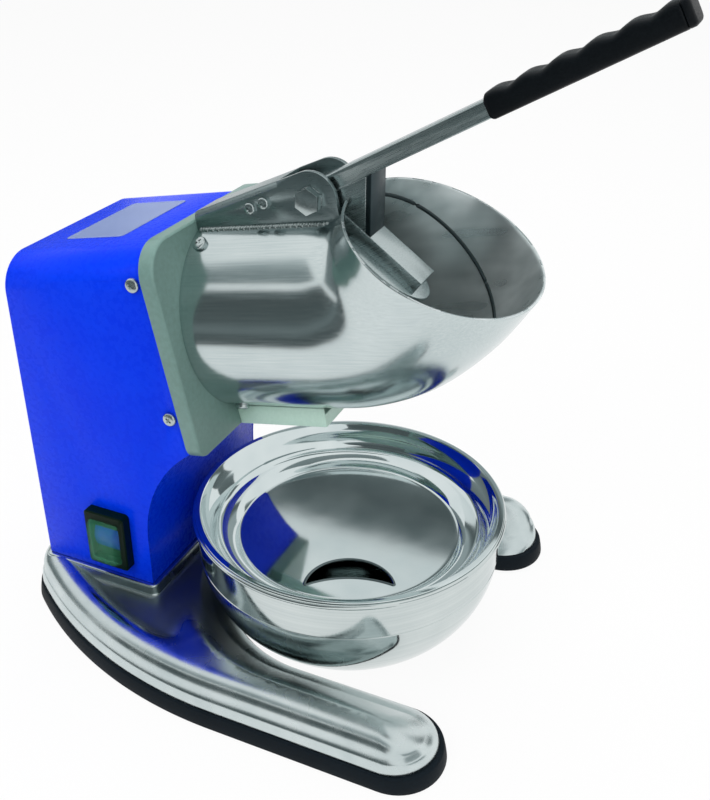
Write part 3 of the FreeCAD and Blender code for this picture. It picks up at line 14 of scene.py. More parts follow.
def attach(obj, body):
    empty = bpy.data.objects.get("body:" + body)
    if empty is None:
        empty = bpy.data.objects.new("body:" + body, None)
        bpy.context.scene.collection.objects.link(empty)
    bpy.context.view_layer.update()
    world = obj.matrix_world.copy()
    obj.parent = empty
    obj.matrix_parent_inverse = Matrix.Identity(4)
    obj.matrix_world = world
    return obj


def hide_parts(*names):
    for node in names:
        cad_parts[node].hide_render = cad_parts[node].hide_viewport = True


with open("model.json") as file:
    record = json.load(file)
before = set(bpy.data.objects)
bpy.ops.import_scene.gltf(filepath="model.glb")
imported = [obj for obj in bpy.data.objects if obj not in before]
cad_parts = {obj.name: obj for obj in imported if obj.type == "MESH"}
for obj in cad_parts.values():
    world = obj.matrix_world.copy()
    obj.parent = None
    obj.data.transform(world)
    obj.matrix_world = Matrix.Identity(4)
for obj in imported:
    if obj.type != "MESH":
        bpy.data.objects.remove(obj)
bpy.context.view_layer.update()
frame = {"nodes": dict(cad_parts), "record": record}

LOG = logging.getLogger("ice_shaver")
MM = 0.001
Point = tuple[float, float, float]

# The head's tilt and face, and the lever's pivot and rest angle, as the solids have them.
TILT = math.radians(11.4)
HEAD = Matrix.Translation((-76.0, 0.0, 208.0)) @ Matrix.Rotation(-TILT, 4, "Y")
PIVOT = HEAD @ Vector((75.5, -5.0, 69.0))
LEVER = Matrix.Translation(PIVOT) @ Matrix.Rotation(-math.radians(30.0), 4, "Y")
ROW = Matrix.Identity(4)

# The sRGB curve: the end and the slope of its straight foot, then the offset and power above it.
SRGB_FOOT, SRGB_SLOPE, SRGB_OFFSET, SRGB_POWER = 0.04045, 12.92, 0.055, 2.4
# How far an edge turns, in degrees, to count as hard on sheet work and on rounded work.
SHEET_SHARP, ROUND_SHARP = 40.0, 50.0
# Steps round a well rounded edge.
FINE_SEGMENTS = 3
# Tells the triangulation to keep only what lies inside the given edges.
INSIDE_ONLY = 1
# Points of a mesh that are this close, in metres, are one; faces within this angle are one face.
MERGE_DISTANCE, FLAT_DEGREES = 1e-6, 0.6
# Slow patches that shift every finish a little between its two colours: size in mm, and detail.
CLOUD_MM, CLOUD_DETAIL = 45.0, 3.0
# What the pattern and the patches add up to at the first and at the second colour.
COLOR_FROM, COLOR_TO = 0.7, 1.3
# The pattern's value where a finish is smoothest and where it is roughest.
SMOOTH_AT, ROUGH_AT = 0.3, 0.7
LEAST_ROUGHNESS, BUMP_STRENGTH = 0.02, 0.6
# Detail and falloff of the noise behind turned rings, fine grain and soft waves.
RING_DETAIL, FINE_DETAIL, SOFT_DETAIL = 3.0, 4.0, 1.5
RING_FALLOFF, GRAIN_FALLOFF = 0.6, 0.55
# Where the colour mixer takes its two colours.
FIRST_COLOR, SECOND_COLOR = 6, 7
# Low level ground behind the bay: rougher where the buffing wheel does not reach, and darkened as
# painted shade:
# how far its edge fades in mm, where it starts and is full along X, how level it is, how much rougher
# it is, and the painted shade's colour.
POCKET_ABOVE, POCKET_BELOW = 3.0, 2.0
POCKET_START, POCKET_FULL = -20.0, -75.0
POCKET_TILTED, POCKET_LEVEL = 0.45, 0.9
POCKET_ROUGHNESS, POCKET_COLOR = 0.2, "#7C8889"


# ------------------------------------------------------------------ finishes

class Grain(Enum):
    """How a surface was worked, which sets the pattern its material carries."""

    PEEL = "sprayed"
    SPUN = "spun"
    DRAWN = "drawn"
    BUFFED = "buffed"
    MOULDED = "moulded"
    CAST = "cast"


def linear(code: str) -> tuple[float, float, float, float]:
    """Turn an sRGB hex code into linear colour.

    Args:
        code: Six hex digits, with or without a leading hash.

    Returns:
        Red, green, blue and an alpha of one.
    """
    digits = code.lstrip("#")
    parts = [int(digits[i:i + 2], 16) / 255 for i in (0, 2, 4)]
    red, green, blue = [part / SRGB_SLOPE if part <= SRGB_FOOT
                        else ((part + SRGB_OFFSET) / (1 + SRGB_OFFSET)) ** SRGB_POWER
                        for part in parts]
    return red, green, blue, 1.0


def add_node(tree: bpy.types.NodeTree, kind: str, settings: Optional[dict] = None,
             **links: object) -> bpy.types.Node:
    """Add one node with its settings, socket values and incoming links.

    Args:
        tree: The node tree that takes the node.
        kind: The node's type name.
        settings: Attributes of the node, and socket values under "inputs".
        links: Socket name or "i" and an index, to the output socket that feeds it.

    Returns:
        The new node.
    """
    node = tree.nodes.new(kind)
    for key, value in (settings or {}).items():
        if key == "inputs":
            for name, item in value.items():
                node.inputs[name].default_value = item
        else:
            setattr(node, key, value)
    for name, source in links.items():
        key = int(name[1:]) if name[0] == "i" and name[1:].isdigit() else name.replace("_", " ")
        tree.links.new(source, node.inputs[key])
    return node


def add_math(tree: bpy.types.NodeTree, operation: str, first: bpy.types.NodeSocket,
             second: bpy.types.NodeSocket) -> bpy.types.NodeSocket:
    """Join two values by one operation and give the result."""
    return add_node(tree, "ShaderNodeMath", {"operation": operation}, i0=first,
                    i1=second).outputs[0]


def add_step(tree: bpy.types.NodeTree, value: bpy.types.NodeSocket, start: float,
             end: float) -> bpy.types.NodeSocket:
    """A soft step from 0 where the value is at the start to 1 where it is at the end."""
    return add_node(tree, "ShaderNodeMapRange",
                    {"interpolation_type": "SMOOTHSTEP",
                     "inputs": {"From Min": start, "From Max": end}}, Value=value).outputs[0]


def cleared_tree(owner: bpy.types.ID) -> bpy.types.NodeTree:
    """The empty node tree of a material or a world."""
    owner.use_nodes = True
    owner.node_tree.nodes.clear()
    return owner.node_tree


@dataclass(frozen=True)
class Finish:
    """One finish: what it is made of, how it was worked, and the sizes of its marks in mm."""

    name: str
    slot: str
    color: str
    second: str
    grain: Grain
    metallic: float = 0.0
    roughness: float = 0.4
    rough_spread: float = 0.08
    mark: float = 1.0
    stretch: float = 1.0
    relief: float = 0.01
    specular: float = 0.5
    turn: Matrix = field(default_factory=lambda: ROW)
    alpha: float = 1.0
    # Height below which level ground is rougher and darkened by painted shade; 0 for none.
    pocket: float = 0.0

    def material(self) -> bpy.types.Material:
        """Build the material, or return it if it is already built."""
        known = bpy.data.materials.get(self.name)
        return known or self._build()

    def _coordinates(self, tree: bpy.types.NodeTree) -> bpy.types.NodeSocket:
        """Object coordinates in mm, turned into the piece's own frame."""
        source = add_node(tree, "ShaderNodeTexCoord").outputs["Object"]
        back = self.turn.inverted()
        angle = back.to_euler()
        shift = back.translation
        return add_node(
            tree, "ShaderNodeMapping",
            {"inputs": {"Location": shift, "Rotation": angle, "Scale": (1 / MM,) * 3}},
            Vector=source).outputs[0]

    def _pattern(self, tree: bpy.types.NodeTree,
                 place: bpy.types.NodeSocket) -> bpy.types.NodeSocket:
        """The pattern that the working leaves, from 0 to 1."""
        per_mm = 1.0 / self.mark
        if self.grain is Grain.SPUN:
            # Fine rings round the spinning axis: only the distance from it and the height count.
            split = add_node(tree, "ShaderNodeSeparateXYZ", None, Vector=place)
            flat = add_node(tree, "ShaderNodeCombineXYZ", None, X=split.outputs["X"],
                            Y=split.outputs["Y"])
            reach = add_node(tree, "ShaderNodeVectorMath", {"operation": "LENGTH"}, i0=flat.outputs[0])
            rings = add_node(tree, "ShaderNodeCombineXYZ", None, X=reach.outputs["Value"],
                             Z=split.outputs["Z"])
            return add_node(tree, "ShaderNodeTexNoise",
                            {"inputs": {"Scale": per_mm, "Detail": RING_DETAIL,
                                        "Roughness": RING_FALLOFF}},
                            Vector=rings.outputs[0]).outputs["Fac"]
        scale = (1.0 / self.stretch, 1.0, 1.0)
        stretched = add_node(tree, "ShaderNodeMapping", {"inputs": {"Scale": scale}}, Vector=place)
        if self.grain is Grain.MOULDED:
            cells = add_node(tree, "ShaderNodeTexVoronoi",
                             {"feature": "SMOOTH_F1", "inputs": {"Scale": per_mm}},
                             Vector=stretched.outputs[0])
            return cells.outputs["Distance"]
        detail = FINE_DETAIL if self.grain in (Grain.DRAWN, Grain.CAST) else SOFT_DETAIL
        return add_node(tree, "ShaderNodeTexNoise",
                        {"inputs": {"Scale": per_mm, "Detail": detail, "Roughness": GRAIN_FALLOFF}},
                        Vector=stretched.outputs[0]).outputs["Fac"]

    def _low_and_level(self, tree: bpy.types.NodeTree,
                       place: bpy.types.NodeSocket) -> bpy.types.NodeSocket:
        """1 on level ground below the pocket height: left rougher by the buffing, and darkened there
        as painted shade.
        """
        split = add_node(tree, "ShaderNodeSeparateXYZ", None, Vector=place).outputs
        below = add_step(tree, split["Z"], self.pocket + POCKET_ABOVE, self.pocket - POCKET_BELOW)
        behind = add_step(tree, split["X"], POCKET_START, POCKET_FULL)
        facing = add_node(tree, "ShaderNodeTexCoord").outputs["Normal"]
        upward = add_node(tree, "ShaderNodeSeparateXYZ", None, Vector=facing).outputs["Z"]
        level = add_step(tree, upward, POCKET_TILTED, POCKET_LEVEL)
        return add_math(tree, "MULTIPLY", add_math(tree, "MULTIPLY", below, level), behind)

    def _build(self) -> bpy.types.Material:
        """Make the node tree."""
        material = bpy.data.materials.new(self.name)
        material.use_nodes = True
        tree = material.node_tree
        shader = tree.nodes["Principled BSDF"]
        place = self._coordinates(tree)
        pattern = self._pattern(tree, place)
        cloud = add_node(tree, "ShaderNodeTexNoise",
                         {"inputs": {"Scale": 1 / CLOUD_MM, "Detail": CLOUD_DETAIL}},
                         Vector=place).outputs["Fac"]
        share = add_node(tree, "ShaderNodeMapRange",
                         {"inputs": {"From Min": COLOR_FROM, "From Max": COLOR_TO}},
                         Value=add_math(tree, "ADD", pattern, cloud))
        color = add_node(tree, "ShaderNodeMix", {"data_type": "RGBA"}, i0=share.outputs[0])
        color.inputs[FIRST_COLOR].default_value = linear(self.color)
        color.inputs[SECOND_COLOR].default_value = linear(self.second)
        hue = color.outputs[2]
        rough = add_node(tree, "ShaderNodeMapRange",
                         {"inputs": {"From Min": SMOOTH_AT, "From Max": ROUGH_AT,
                                     "To Min": max(self.roughness - self.rough_spread,
                                                   LEAST_ROUGHNESS),
                                     "To Max": self.roughness + self.rough_spread}},
                         Value=pattern).outputs[0]
        if self.pocket:
            low = self._low_and_level(tree, place)
            rough = add_node(tree, "ShaderNodeMath",
                             {"operation": "MULTIPLY_ADD", "inputs": {1: POCKET_ROUGHNESS}},
                             i0=low, i2=rough).outputs[0]
            # Painted shade: low level ground is mixed towards a darker colour.
            dull = add_node(tree, "ShaderNodeMix", {"data_type": "RGBA"}, i0=low, i6=hue)
            dull.inputs[SECOND_COLOR].default_value = linear(POCKET_COLOR)
            hue = dull.outputs[2]
        tree.links.new(hue, shader.inputs["Base Color"])
        tree.links.new(rough, shader.inputs["Roughness"])
        bump = add_node(tree, "ShaderNodeBump",
                        {"inputs": {"Strength": BUMP_STRENGTH, "Distance": self.relief * MM}},
                        Height=pattern)
        tree.links.new(bump.outputs[0], shader.inputs["Normal"])
        shader.inputs["Metallic"].default_value = self.metallic
        shader.inputs["Specular IOR Level"].default_value = self.specular
        if self.alpha < 1:
            shader.inputs["Alpha"].default_value = self.alpha
        return material


# Stove enamel: sprayed and baked, an even saturated coat with faint orange peel.
BLUE_ENAMEL = Finish("stove_enamel_blue", "blue_paint", "#0032E2", "#003AEA", Grain.PEEL,
                     0.0, 0.28, 0.03, 3.2, relief=0.004, specular=0.08, turn=HEAD)
# Satin enamel on a sand casting: broader ripples under the coat.
HEAD_ENAMEL = Finish("satin_enamel_grey_green", "green_grey_paint", "#66847D", "#71908A",
                     Grain.PEEL, 0.0, 0.34, 0.05, 3.0, relief=0.03, specular=0.4, turn=HEAD)
PALE_ENAMEL = Finish("satin_enamel_pale_green", "pale_green_paint", "#B7D8C9", "#C2E0D2",
                     Grain.PEEL, 0.0, 0.38, 0.05, 2.0, relief=0.02, turn=HEAD)
# Polished stainless tube: mirror with faint lengthways drawing marks.
TUBE_STEEL = Finish("polished_stainless_tube", "polished_steel", "#BCC8C9", "#CDD7D7",
                    Grain.DRAWN, 1.0, 0.16, 0.04, 0.8, 40.0, 0.005, turn=HEAD)
# Inside the mouth the steel is left satin. Its colour runs from a little darker than the tube to near
# white in long streaks, painted highlights for the light inside the mouth.
MOUTH_STEEL = Finish("satin_stainless_mouth", "polished_steel", "#AFBBBC", "#EDF5F5",
                     Grain.BUFFED, 0.85, 0.3, 0.05, 13.0, 9.0, 0.1, turn=HEAD)
# Spun and polished bowl: fine rings round its axis.
BOWL_STEEL = Finish("spun_stainless", "polished_steel", "#BEC8C8", "#D0D8D7", Grain.SPUN,
                    1.0, 0.08, 0.04, 1.6, relief=0.0015)
TRAY_STEEL = Finish("pressed_stainless_tray", "polished_steel", "#C6D2D3", "#D8E1E1", Grain.BUFFED,
                    1.0, 0.07, 0.02, 30.0, relief=0.07)
# The rolled edge of the drain hole: its dark grey is painted shade for the shaded groove and dark
# reflection round the hole; it is also rougher than the mirror round it.
HEM_STEEL = Finish("rolled_hem_steel", "polished_steel", "#5C686A", "#6C7879", Grain.BUFFED,
                   1.0, 0.22, 0.04, 4.0, relief=0.01)
# Sheet steel, brushed lengthways and left satin.
SATIN_STEEL = Finish("brushed_stainless_sheet", "satin_steel", "#A9B6B7", "#BFCACA", Grain.DRAWN,
                     1.0, 0.28, 0.07, 0.35, 30.0, 0.01, turn=LEVER)
# The pusher strut: a dark colour that is painted shade, for the shadow under the lever bar.
SCALE_STEEL = Finish("hot_rolled_strip", "satin_steel", "#39464A", "#475357", Grain.CAST,
                     1.0, 0.4, 0.06, 4.0, relief=0.01)
BRACKET_STEEL = Finish("buffed_stainless_bracket", "polished_steel", "#92A1A2", "#A2B0B1",
                       Grain.DRAWN, 1.0, 0.3, 0.05, 0.5, 24.0, 0.006, turn=HEAD)
# Cast aluminium, buffed by hand: a mirror with slow waves, with painted shade on the low deck behind
# the bay.
BASE_ALLOY = Finish("buffed_cast_aluminium", "polished_casting", "#BCC8C9", "#D2DCDC",
                    Grain.BUFFED, 1.0, 0.25, 0.05, 16.0, relief=0.2, pocket=27.5)
RAW_ALLOY = Finish("as_cast_aluminium", "cast_alloy", "#9DA2A3", "#B2B7B8", Grain.CAST,
                   1.0, 0.5, 0.08, 1.2, relief=0.06)
PLAIN_STEEL = Finish("zinc_plated_steel", "plain_steel", "#8F9698", "#A5ABAC", Grain.CAST,
                     1.0, 0.36, 0.08, 0.9, relief=0.01)
SCREW_STEEL = Finish("turned_stainless", "satin_steel", "#A9B5B5", "#C0CACA", Grain.BUFFED,
                     1.0, 0.22, 0.05, 3.0, relief=0.006)
# Weld beads: bright steel with a dull, rippled skin.
WELD_STEEL = Finish("weld_bead_steel", "plain_steel", "#7E8988", "#B2BCBB", Grain.CAST,
                    1.0, 0.3, 0.1, 0.8, relief=0.05)
# The rolled seam inside the mouth: a bead at the lap, coloured dark as painted shadow of the lap's
# step.
SEAM_STEEL = Finish("pickled_seam_steel", "plain_steel", "#3A4446", "#4A5557", Grain.CAST,
                    1.0, 0.5, 0.08, 1.2, relief=0.02)
RUBBER = Finish("moulded_rubber", "black_rubber", "#0A1218", "#101A21", Grain.MOULDED,
                0.0, 0.62, 0.06, 0.8, relief=0.02, specular=0.12)
GRIP_VINYL = Finish("moulded_vinyl_grip", "grip_plastic", "#05090D", "#0A1014", Grain.MOULDED,
                    0.0, 0.46, 0.06, 0.6, relief=0.015, specular=0.14, turn=LEVER)
NYLON = Finish("moulded_nylon", "black_plastic", "#06160F", "#0A1D15", Grain.MOULDED,
               0.0, 0.4, 0.05, 0.5, relief=0.01, specular=0.25)
BEZEL_NYLON = Finish("moulded_nylon_dark_green", "black_plastic", "#02150A", "#051C0C",
                     Grain.MOULDED, 0.0, 0.4, 0.05, 0.5, relief=0.008, specular=0.12)
ROCKER_GLOSS = Finish("rocker_polycarbonate", "rocker_plastic", "#0626B4", "#0930CC",
                      Grain.MOULDED, 0.0, 0.18, 0.04, 0.8, relief=0.004, specular=0.3)
# Clear splash cover: a thin tinted film that lets the rocker show.
COVER_CLEAR = Finish("clear_splash_cover", "clear_cover", "#4A9E74", "#58AD84", Grain.MOULDED,
                     0.0, 0.1, 0.04, 2.5, relief=0.02, specular=0.3, alpha=0.18)
FOIL = Finish("anodised_foil", "label_foil", "#8497CC", "#90A3D4", Grain.DRAWN,
              0.4, 0.36, 0.05, 0.4, 30.0, 0.003, turn=HEAD)
COPPER = Finish("enamelled_copper", "copper", "#A65B33", "#BC6E42", Grain.SPUN,
                1.0, 0.35, 0.06, 0.8, relief=0.05, turn=HEAD @ Matrix.Rotation(math.pi / 2, 4, "Y"))
MELAMINE = Finish("moulded_melamine", "ceramic", "#D8D3C6", "#E2DED3", Grain.MOULDED,
                  0.0, 0.3, 0.05, 0.9, relief=0.01)
CAN_METAL = Finish("drawn_aluminium_can", "capacitor_can", "#A7ABAE", "#B7BBBE", Grain.DRAWN,
                   1.0, 0.3, 0.06, 0.5, 20.0, 0.006)


# ------------------------------------------------------------------ mesh helpers

def make_object(name: str, verts: Iterable[Sequence[float]], faces: Iterable[Sequence[int]],
                place: Matrix = ROW, sharp: float = 35.0) -> bpy.types.Object:
    """Make a smooth-shaded object whose place is in its mesh.

    Args:
        name: The object's name.
        verts: Points in mm, in the frame of place.
        faces: Corner indices of each face.
        place: The frame's matrix, in mm.
        sharp: Edges that turn more than this, in degrees, stay sharp.

    Returns:
        The linked object.
    """
    mesh = bpy.data.meshes.new(name)
    moved = [place @ Vector(v) * MM for v in verts]
    mesh.from_pydata(moved, [], [tuple(f) for f in faces])
    return link_mesh(name, mesh, sharp)


def linked(name: str, data: bpy.types.ID) -> bpy.types.Object:
    """Make an object of a mesh, lamp or camera and put it in the scene."""
    obj = bpy.data.objects.new(name, data)
    bpy.context.scene.collection.objects.link(obj)
    return obj


def shade(mesh: bpy.types.Mesh, sharp: float) -> None:
    """Shade a mesh smooth, apart from edges that turn more than an angle in degrees."""
    mesh.shade_smooth()
    mesh.set_sharp_from_angle(angle=math.radians(sharp))


def link_mesh(name: str, mesh: bpy.types.Mesh, sharp: float = 35.0) -> bpy.types.Object:
    """Link a mesh as an object, with its normals turned out and its hard edges kept."""
    work = bmesh.new()
    work.from_mesh(mesh)
    bmesh.ops.remove_doubles(work, verts=work.verts, dist=MERGE_DISTANCE)
    bmesh.ops.recalc_face_normals(work, faces=work.faces)
    work.to_mesh(mesh)
    work.free()
    shade(mesh, sharp)
    return linked(name, mesh)


def baked(obj: bpy.types.Object, sharp: float = 35.0) -> bpy.types.Object:
    """Turn the modifiers of an object into its mesh."""
    graph = bpy.context.evaluated_depsgraph_get()
    mesh = bpy.data.meshes.new_from_object(obj.evaluated_get(graph), depsgraph=graph)
    obj.modifiers.clear()
    old = obj.data
    obj.data = mesh
    bpy.data.meshes.remove(old)
    mesh.name = obj.name
    shade(mesh, sharp)
    return obj


def bevelled(obj: bpy.types.Object, width: float, segments: int = 2,
             limit: float = 35.0) -> bpy.types.Object:
    """Round the hard edges of an object by a width in mm, and bake the result."""
    modifier = obj.modifiers.new("Bevel", "BEVEL")
    modifier.width = width * MM
    modifier.segments = segments
    modifier.limit_method = "ANGLE"
    modifier.angle_limit = math.radians(limit)
    modifier.use_clamp_overlap = True
    modifier.harden_normals = False
    return baked(obj)


def drilled(obj: bpy.types.Object, cutter: bpy.types.Object) -> bpy.types.Object:
    """Cut one closed object out of another, bake the result and drop the cutter."""
    modifier = obj.modifiers.new("Cut", "BOOLEAN")
    modifier.operation = "DIFFERENCE"
    modifier.solver = "EXACT"
    modifier.object = cutter
    baked(obj)
    bpy.data.objects.remove(cutter)
    return obj


def ring_faces(rings: int, count: int, joined: bool = False) -> list[tuple[int, ...]]:
    """Quads between successive rings of equal count, and from the last to the first if joined."""
    faces = []
    for i in range(rings if joined else rings - 1):
        near, far = i * count, (i + 1) % rings * count
        for j in range(count):
            k = (j + 1) % count
            faces.append((near + j, near + k, far + k, far + j))
    return faces


def capped_faces(rings: int, count: int) -> list[tuple[int, ...]]:
    """Quads between successive rings, and one flat face on each end ring."""
    last = (rings - 1) * count
    return ring_faces(rings, count) + [tuple(range(count)), tuple(range(last, last + count))]


def shifted(faces: Iterable[Sequence[int]], base: int) -> list[tuple[int, ...]]:
    """Faces whose corner numbers start at a base."""
    return [tuple(base + corner for corner in face) for face in faces]


def around(count: int) -> list[tuple[float, float]]:
    """Cosine and sine of so many equal turns round a circle."""
    return [(math.cos(math.tau * k / count), math.sin(math.tau * k / count)) for k in range(count)]


def lathe(name: str, profile: Sequence[tuple[float, float]], place: Matrix = ROW,
          count: int = 128, sharp: float = 35.0) -> bpy.types.Object:
    """Turn a profile that starts and ends on the frame's Z axis.

    Args:
        name: The object's name.
        profile: Radius and height pairs in mm.
        place: The frame's matrix.
        count: Points round the axis.
        sharp: Edges that turn more than this stay sharp.

    Returns:
        The turned object.
    """
    verts = [(radius * c, radius * s, height) for radius, height in profile for c, s in around(count)]
    return make_object(name, verts, ring_faces(len(profile), count), place, sharp)


def arc(centre: tuple[float, float], radius: float, start: float, end: float,
        steps: int = 8) -> list[tuple[float, float]]:
    """Points of an arc in a plane; the angles are in degrees."""
    points = []
    for i in range(steps + 1):
        angle = math.radians(start + (end - start) * i / steps)
        points.append((centre[0] + radius * math.cos(angle), centre[1] + radius * math.sin(angle)))
    return points


def rounded(low: tuple[float, float], high: tuple[float, float], radius: float,
            steps: int = 6) -> list[tuple[float, float]]:
    """Points of a rounded rectangle between two corners."""
    (x0, y0), (x1, y1) = low, high
    points = []
    for x, y, start in ((x1 - radius, y1 - radius, 0), (x0 + radius, y1 - radius, 90),
                        (x0 + radius, y0 + radius, 180), (x1 - radius, y0 + radius, 270)):
        points += arc((x, y), radius, start, start + 90, steps)
    return points


def smooth_path(points: Sequence[Sequence[float]], steps: int) -> list[list[float]]:
    """A Catmull-Rom curve through points of any dimension, with so many steps to each span."""
    path = []
    padded = [points[0], *points, points[-1]]
    for a, b, c, d in zip(padded, padded[1:], padded[2:], padded[3:]):
        for i in range(steps):
            t = i / steps
            path.append([0.5 * (2 * q + (r - p) * t + (2 * p - 5 * q + 4 * r - w) * t ** 2
                                + (3 * q - p - 3 * r + w) * t ** 3)
                         for p, q, r, w in zip(a, b, c, d)])
    path.append(list(points[-1]))
    return path


def soft_step(value: float) -> float:
    """A step from 0 to 1 with soft ends."""
    share = min(max(value, 0.0), 1.0)
    return share * share * (3 - 2 * share)


def tube_along(name: str, path: Sequence[Vector], radius: float, count: int = 8,
               place: Matrix = ROW) -> bpy.types.Object:
    """A round bead of a radius along a path, with closed ends."""
    verts, last = [], len(path) - 1
    for i, point in enumerate(path):
        way = (path[min(i + 1, last)] - path[max(i - 1, 0)]).normalized()
        side = way.orthogonal().normalized()
        up = way.cross(side)
        verts += [point + (side * c + up * s) * radius for c, s in around(count)]
    return make_object(name, verts, capped_faces(len(path), count), place)


def mount(obj: bpy.types.Object, finish: Finish, body: str,
          replaces: Sequence[str] = ()) -> bpy.types.Object:
    """Dress a piece, put it on its body and hide the nodes it stands for."""
    obj.data.materials.clear()
    obj.data.materials.append(finish.material())
    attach(obj, body)
    if replaces:
        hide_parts(*replaces)
    LOG.info("%s: %d faces on %s", obj.name, len(obj.data.polygons), body)
    return obj


def body_of_node(node: str) -> str:
    """The body that carries a node."""
    bodies = frame["record"]["behaviour"]["bodies"]
    return next(body for body, members in bodies.items() if node in members)


def fine_copy(node: str, finish: Finish, edge: float = 0.4, sharp: float = 32.0,
              segments: int = 2) -> bpy.types.Object:
    """A copy of a solid with merged faces and worked edges, in its place.

    Args:
        node: The node to stand for.
        finish: The finish it takes.
        edge: How far its hard edges are broken, in mm.
        sharp: Edges that turn more than this count as hard.
        segments: Steps in the rounded edge.

    Returns:
        The mounted piece.
    """
    mesh = frame["nodes"][node].data.copy()
    work = bmesh.new()
    work.from_mesh(mesh)
    bmesh.ops.remove_doubles(work, verts=work.verts, dist=2 * MERGE_DISTANCE)
    bmesh.ops.dissolve_limit(work, angle_limit=math.radians(FLAT_DEGREES), verts=work.verts,
                             edges=work.edges)
    work.to_mesh(mesh)
    work.free()
    mesh.materials.clear()
    shade(mesh, sharp)
    obj = bevelled(linked(node + "_dressed", mesh), edge, segments, sharp)
    return mount(obj, finish, body_of_node(node), [node])


def fine_copies(finish: Finish, edge: float, *nodes: str) -> None:
    """Copies of several solids with one finish and one edge."""
    for node in nodes:
        fine_copy(node, finish, edge)


# ------------------------------------------------------------------ repeated pieces

class Scatter:
    """A Geometry Nodes tree that puts one small form on each point, facing the point's way.

    Every use draws its random turns from the same seed, so each build is the same.
    """

    seed = 3

    def __init__(self) -> None:
        """Build the tree once."""
        tree = bpy.data.node_groups.new("form_on_each_point", "GeometryNodeTree")
        face = tree.interface
        face.new_socket("Geometry", in_out="INPUT", socket_type="NodeSocketGeometry")
        names = (("Form", "NodeSocketObject"), ("Size", "NodeSocketFloat"),
                 ("Random Turn", "NodeSocketFloat"), ("Seed", "NodeSocketInt"),
                 ("Finish", "NodeSocketMaterial"))
        self.keys = {name: face.new_socket(name, in_out="INPUT", socket_type=kind).identifier
                     for name, kind in names}
        face.new_socket("Geometry", in_out="OUTPUT", socket_type="NodeSocketGeometry")
        start = add_node(tree, "NodeGroupInput").outputs
        facing = add_node(tree, "GeometryNodeInputNamedAttribute",
                          {"data_type": "FLOAT_VECTOR", "inputs": {"Name": "facing"}})
        lean = add_node(tree, "FunctionNodeAlignRotationToVector", {"axis": "Z"},
                        Vector=facing.outputs["Attribute"])
        spin = add_node(tree, "FunctionNodeRandomValue", {"data_type": "FLOAT"},
                        Seed=start["Seed"])
        tree.links.new(start["Random Turn"], spin.inputs[3])
        turn = add_node(tree, "ShaderNodeCombineXYZ", None, Z=spin.outputs[1])
        whirl = add_node(tree, "FunctionNodeRotateRotation", {"rotation_space": "LOCAL"},
                         Rotation=lean.outputs[0])
        tree.links.new(add_node(tree, "FunctionNodeEulerToRotation", None,
                                Euler=turn.outputs[0]).outputs[0], whirl.inputs[1])
        form = add_node(tree, "GeometryNodeObjectInfo", None, Object=start["Form"])
        placed = add_node(tree, "GeometryNodeInstanceOnPoints", None, Points=start["Geometry"],
                          Instance=form.outputs["Geometry"], Rotation=whirl.outputs[0],
                          Scale=start["Size"])
        real = add_node(tree, "GeometryNodeRealizeInstances", None, Geometry=placed.outputs[0])
        dressed = add_node(tree, "GeometryNodeSetMaterial", None, Geometry=real.outputs[0],
                           Material=start["Finish"])
        add_node(tree, "NodeGroupOutput", None, Geometry=dressed.outputs[0])
        self.tree = tree

    def place(self, name: str, form: bpy.types.Object, spots: Sequence[tuple[Vector, Vector]],
              finish: Finish, replaces: Sequence[str] = (), size: float = 1.0,
              turn: float = 6.28) -> None:
        """Put the form on each spot, bake the result to one mesh and mount it on the frame body.

        Args:
            name: The new piece's name.
            form: The small form, with its seat at its origin and its front along Z.
            spots: Points in mm and the way each faces.
            finish: The finish that the forms take.
            replaces: The nodes that the piece stands for.
            size: Scale of the form.
            turn: Largest random turn about the facing, in radians.
        """
        mesh = bpy.data.meshes.new(name)
        mesh.from_pydata([p * MM for p, _ in spots], [], [])
        way = mesh.attributes.new("facing", "FLOAT_VECTOR", "POINT")
        way.data.foreach_set("vector", [c for _, f in spots for c in f.normalized()])
        obj = linked(name, mesh)
        modifier = obj.modifiers.new("Scatter", "NODES")
        modifier.node_group = self.tree
        for key, value in (("Form", form), ("Size", size), ("Random Turn", turn),
                           ("Seed", self.seed), ("Finish", finish.material())):
            modifier[self.keys[key]] = value
        obj.update_tag()
        mount(baked(obj), finish, "frame", replaces)


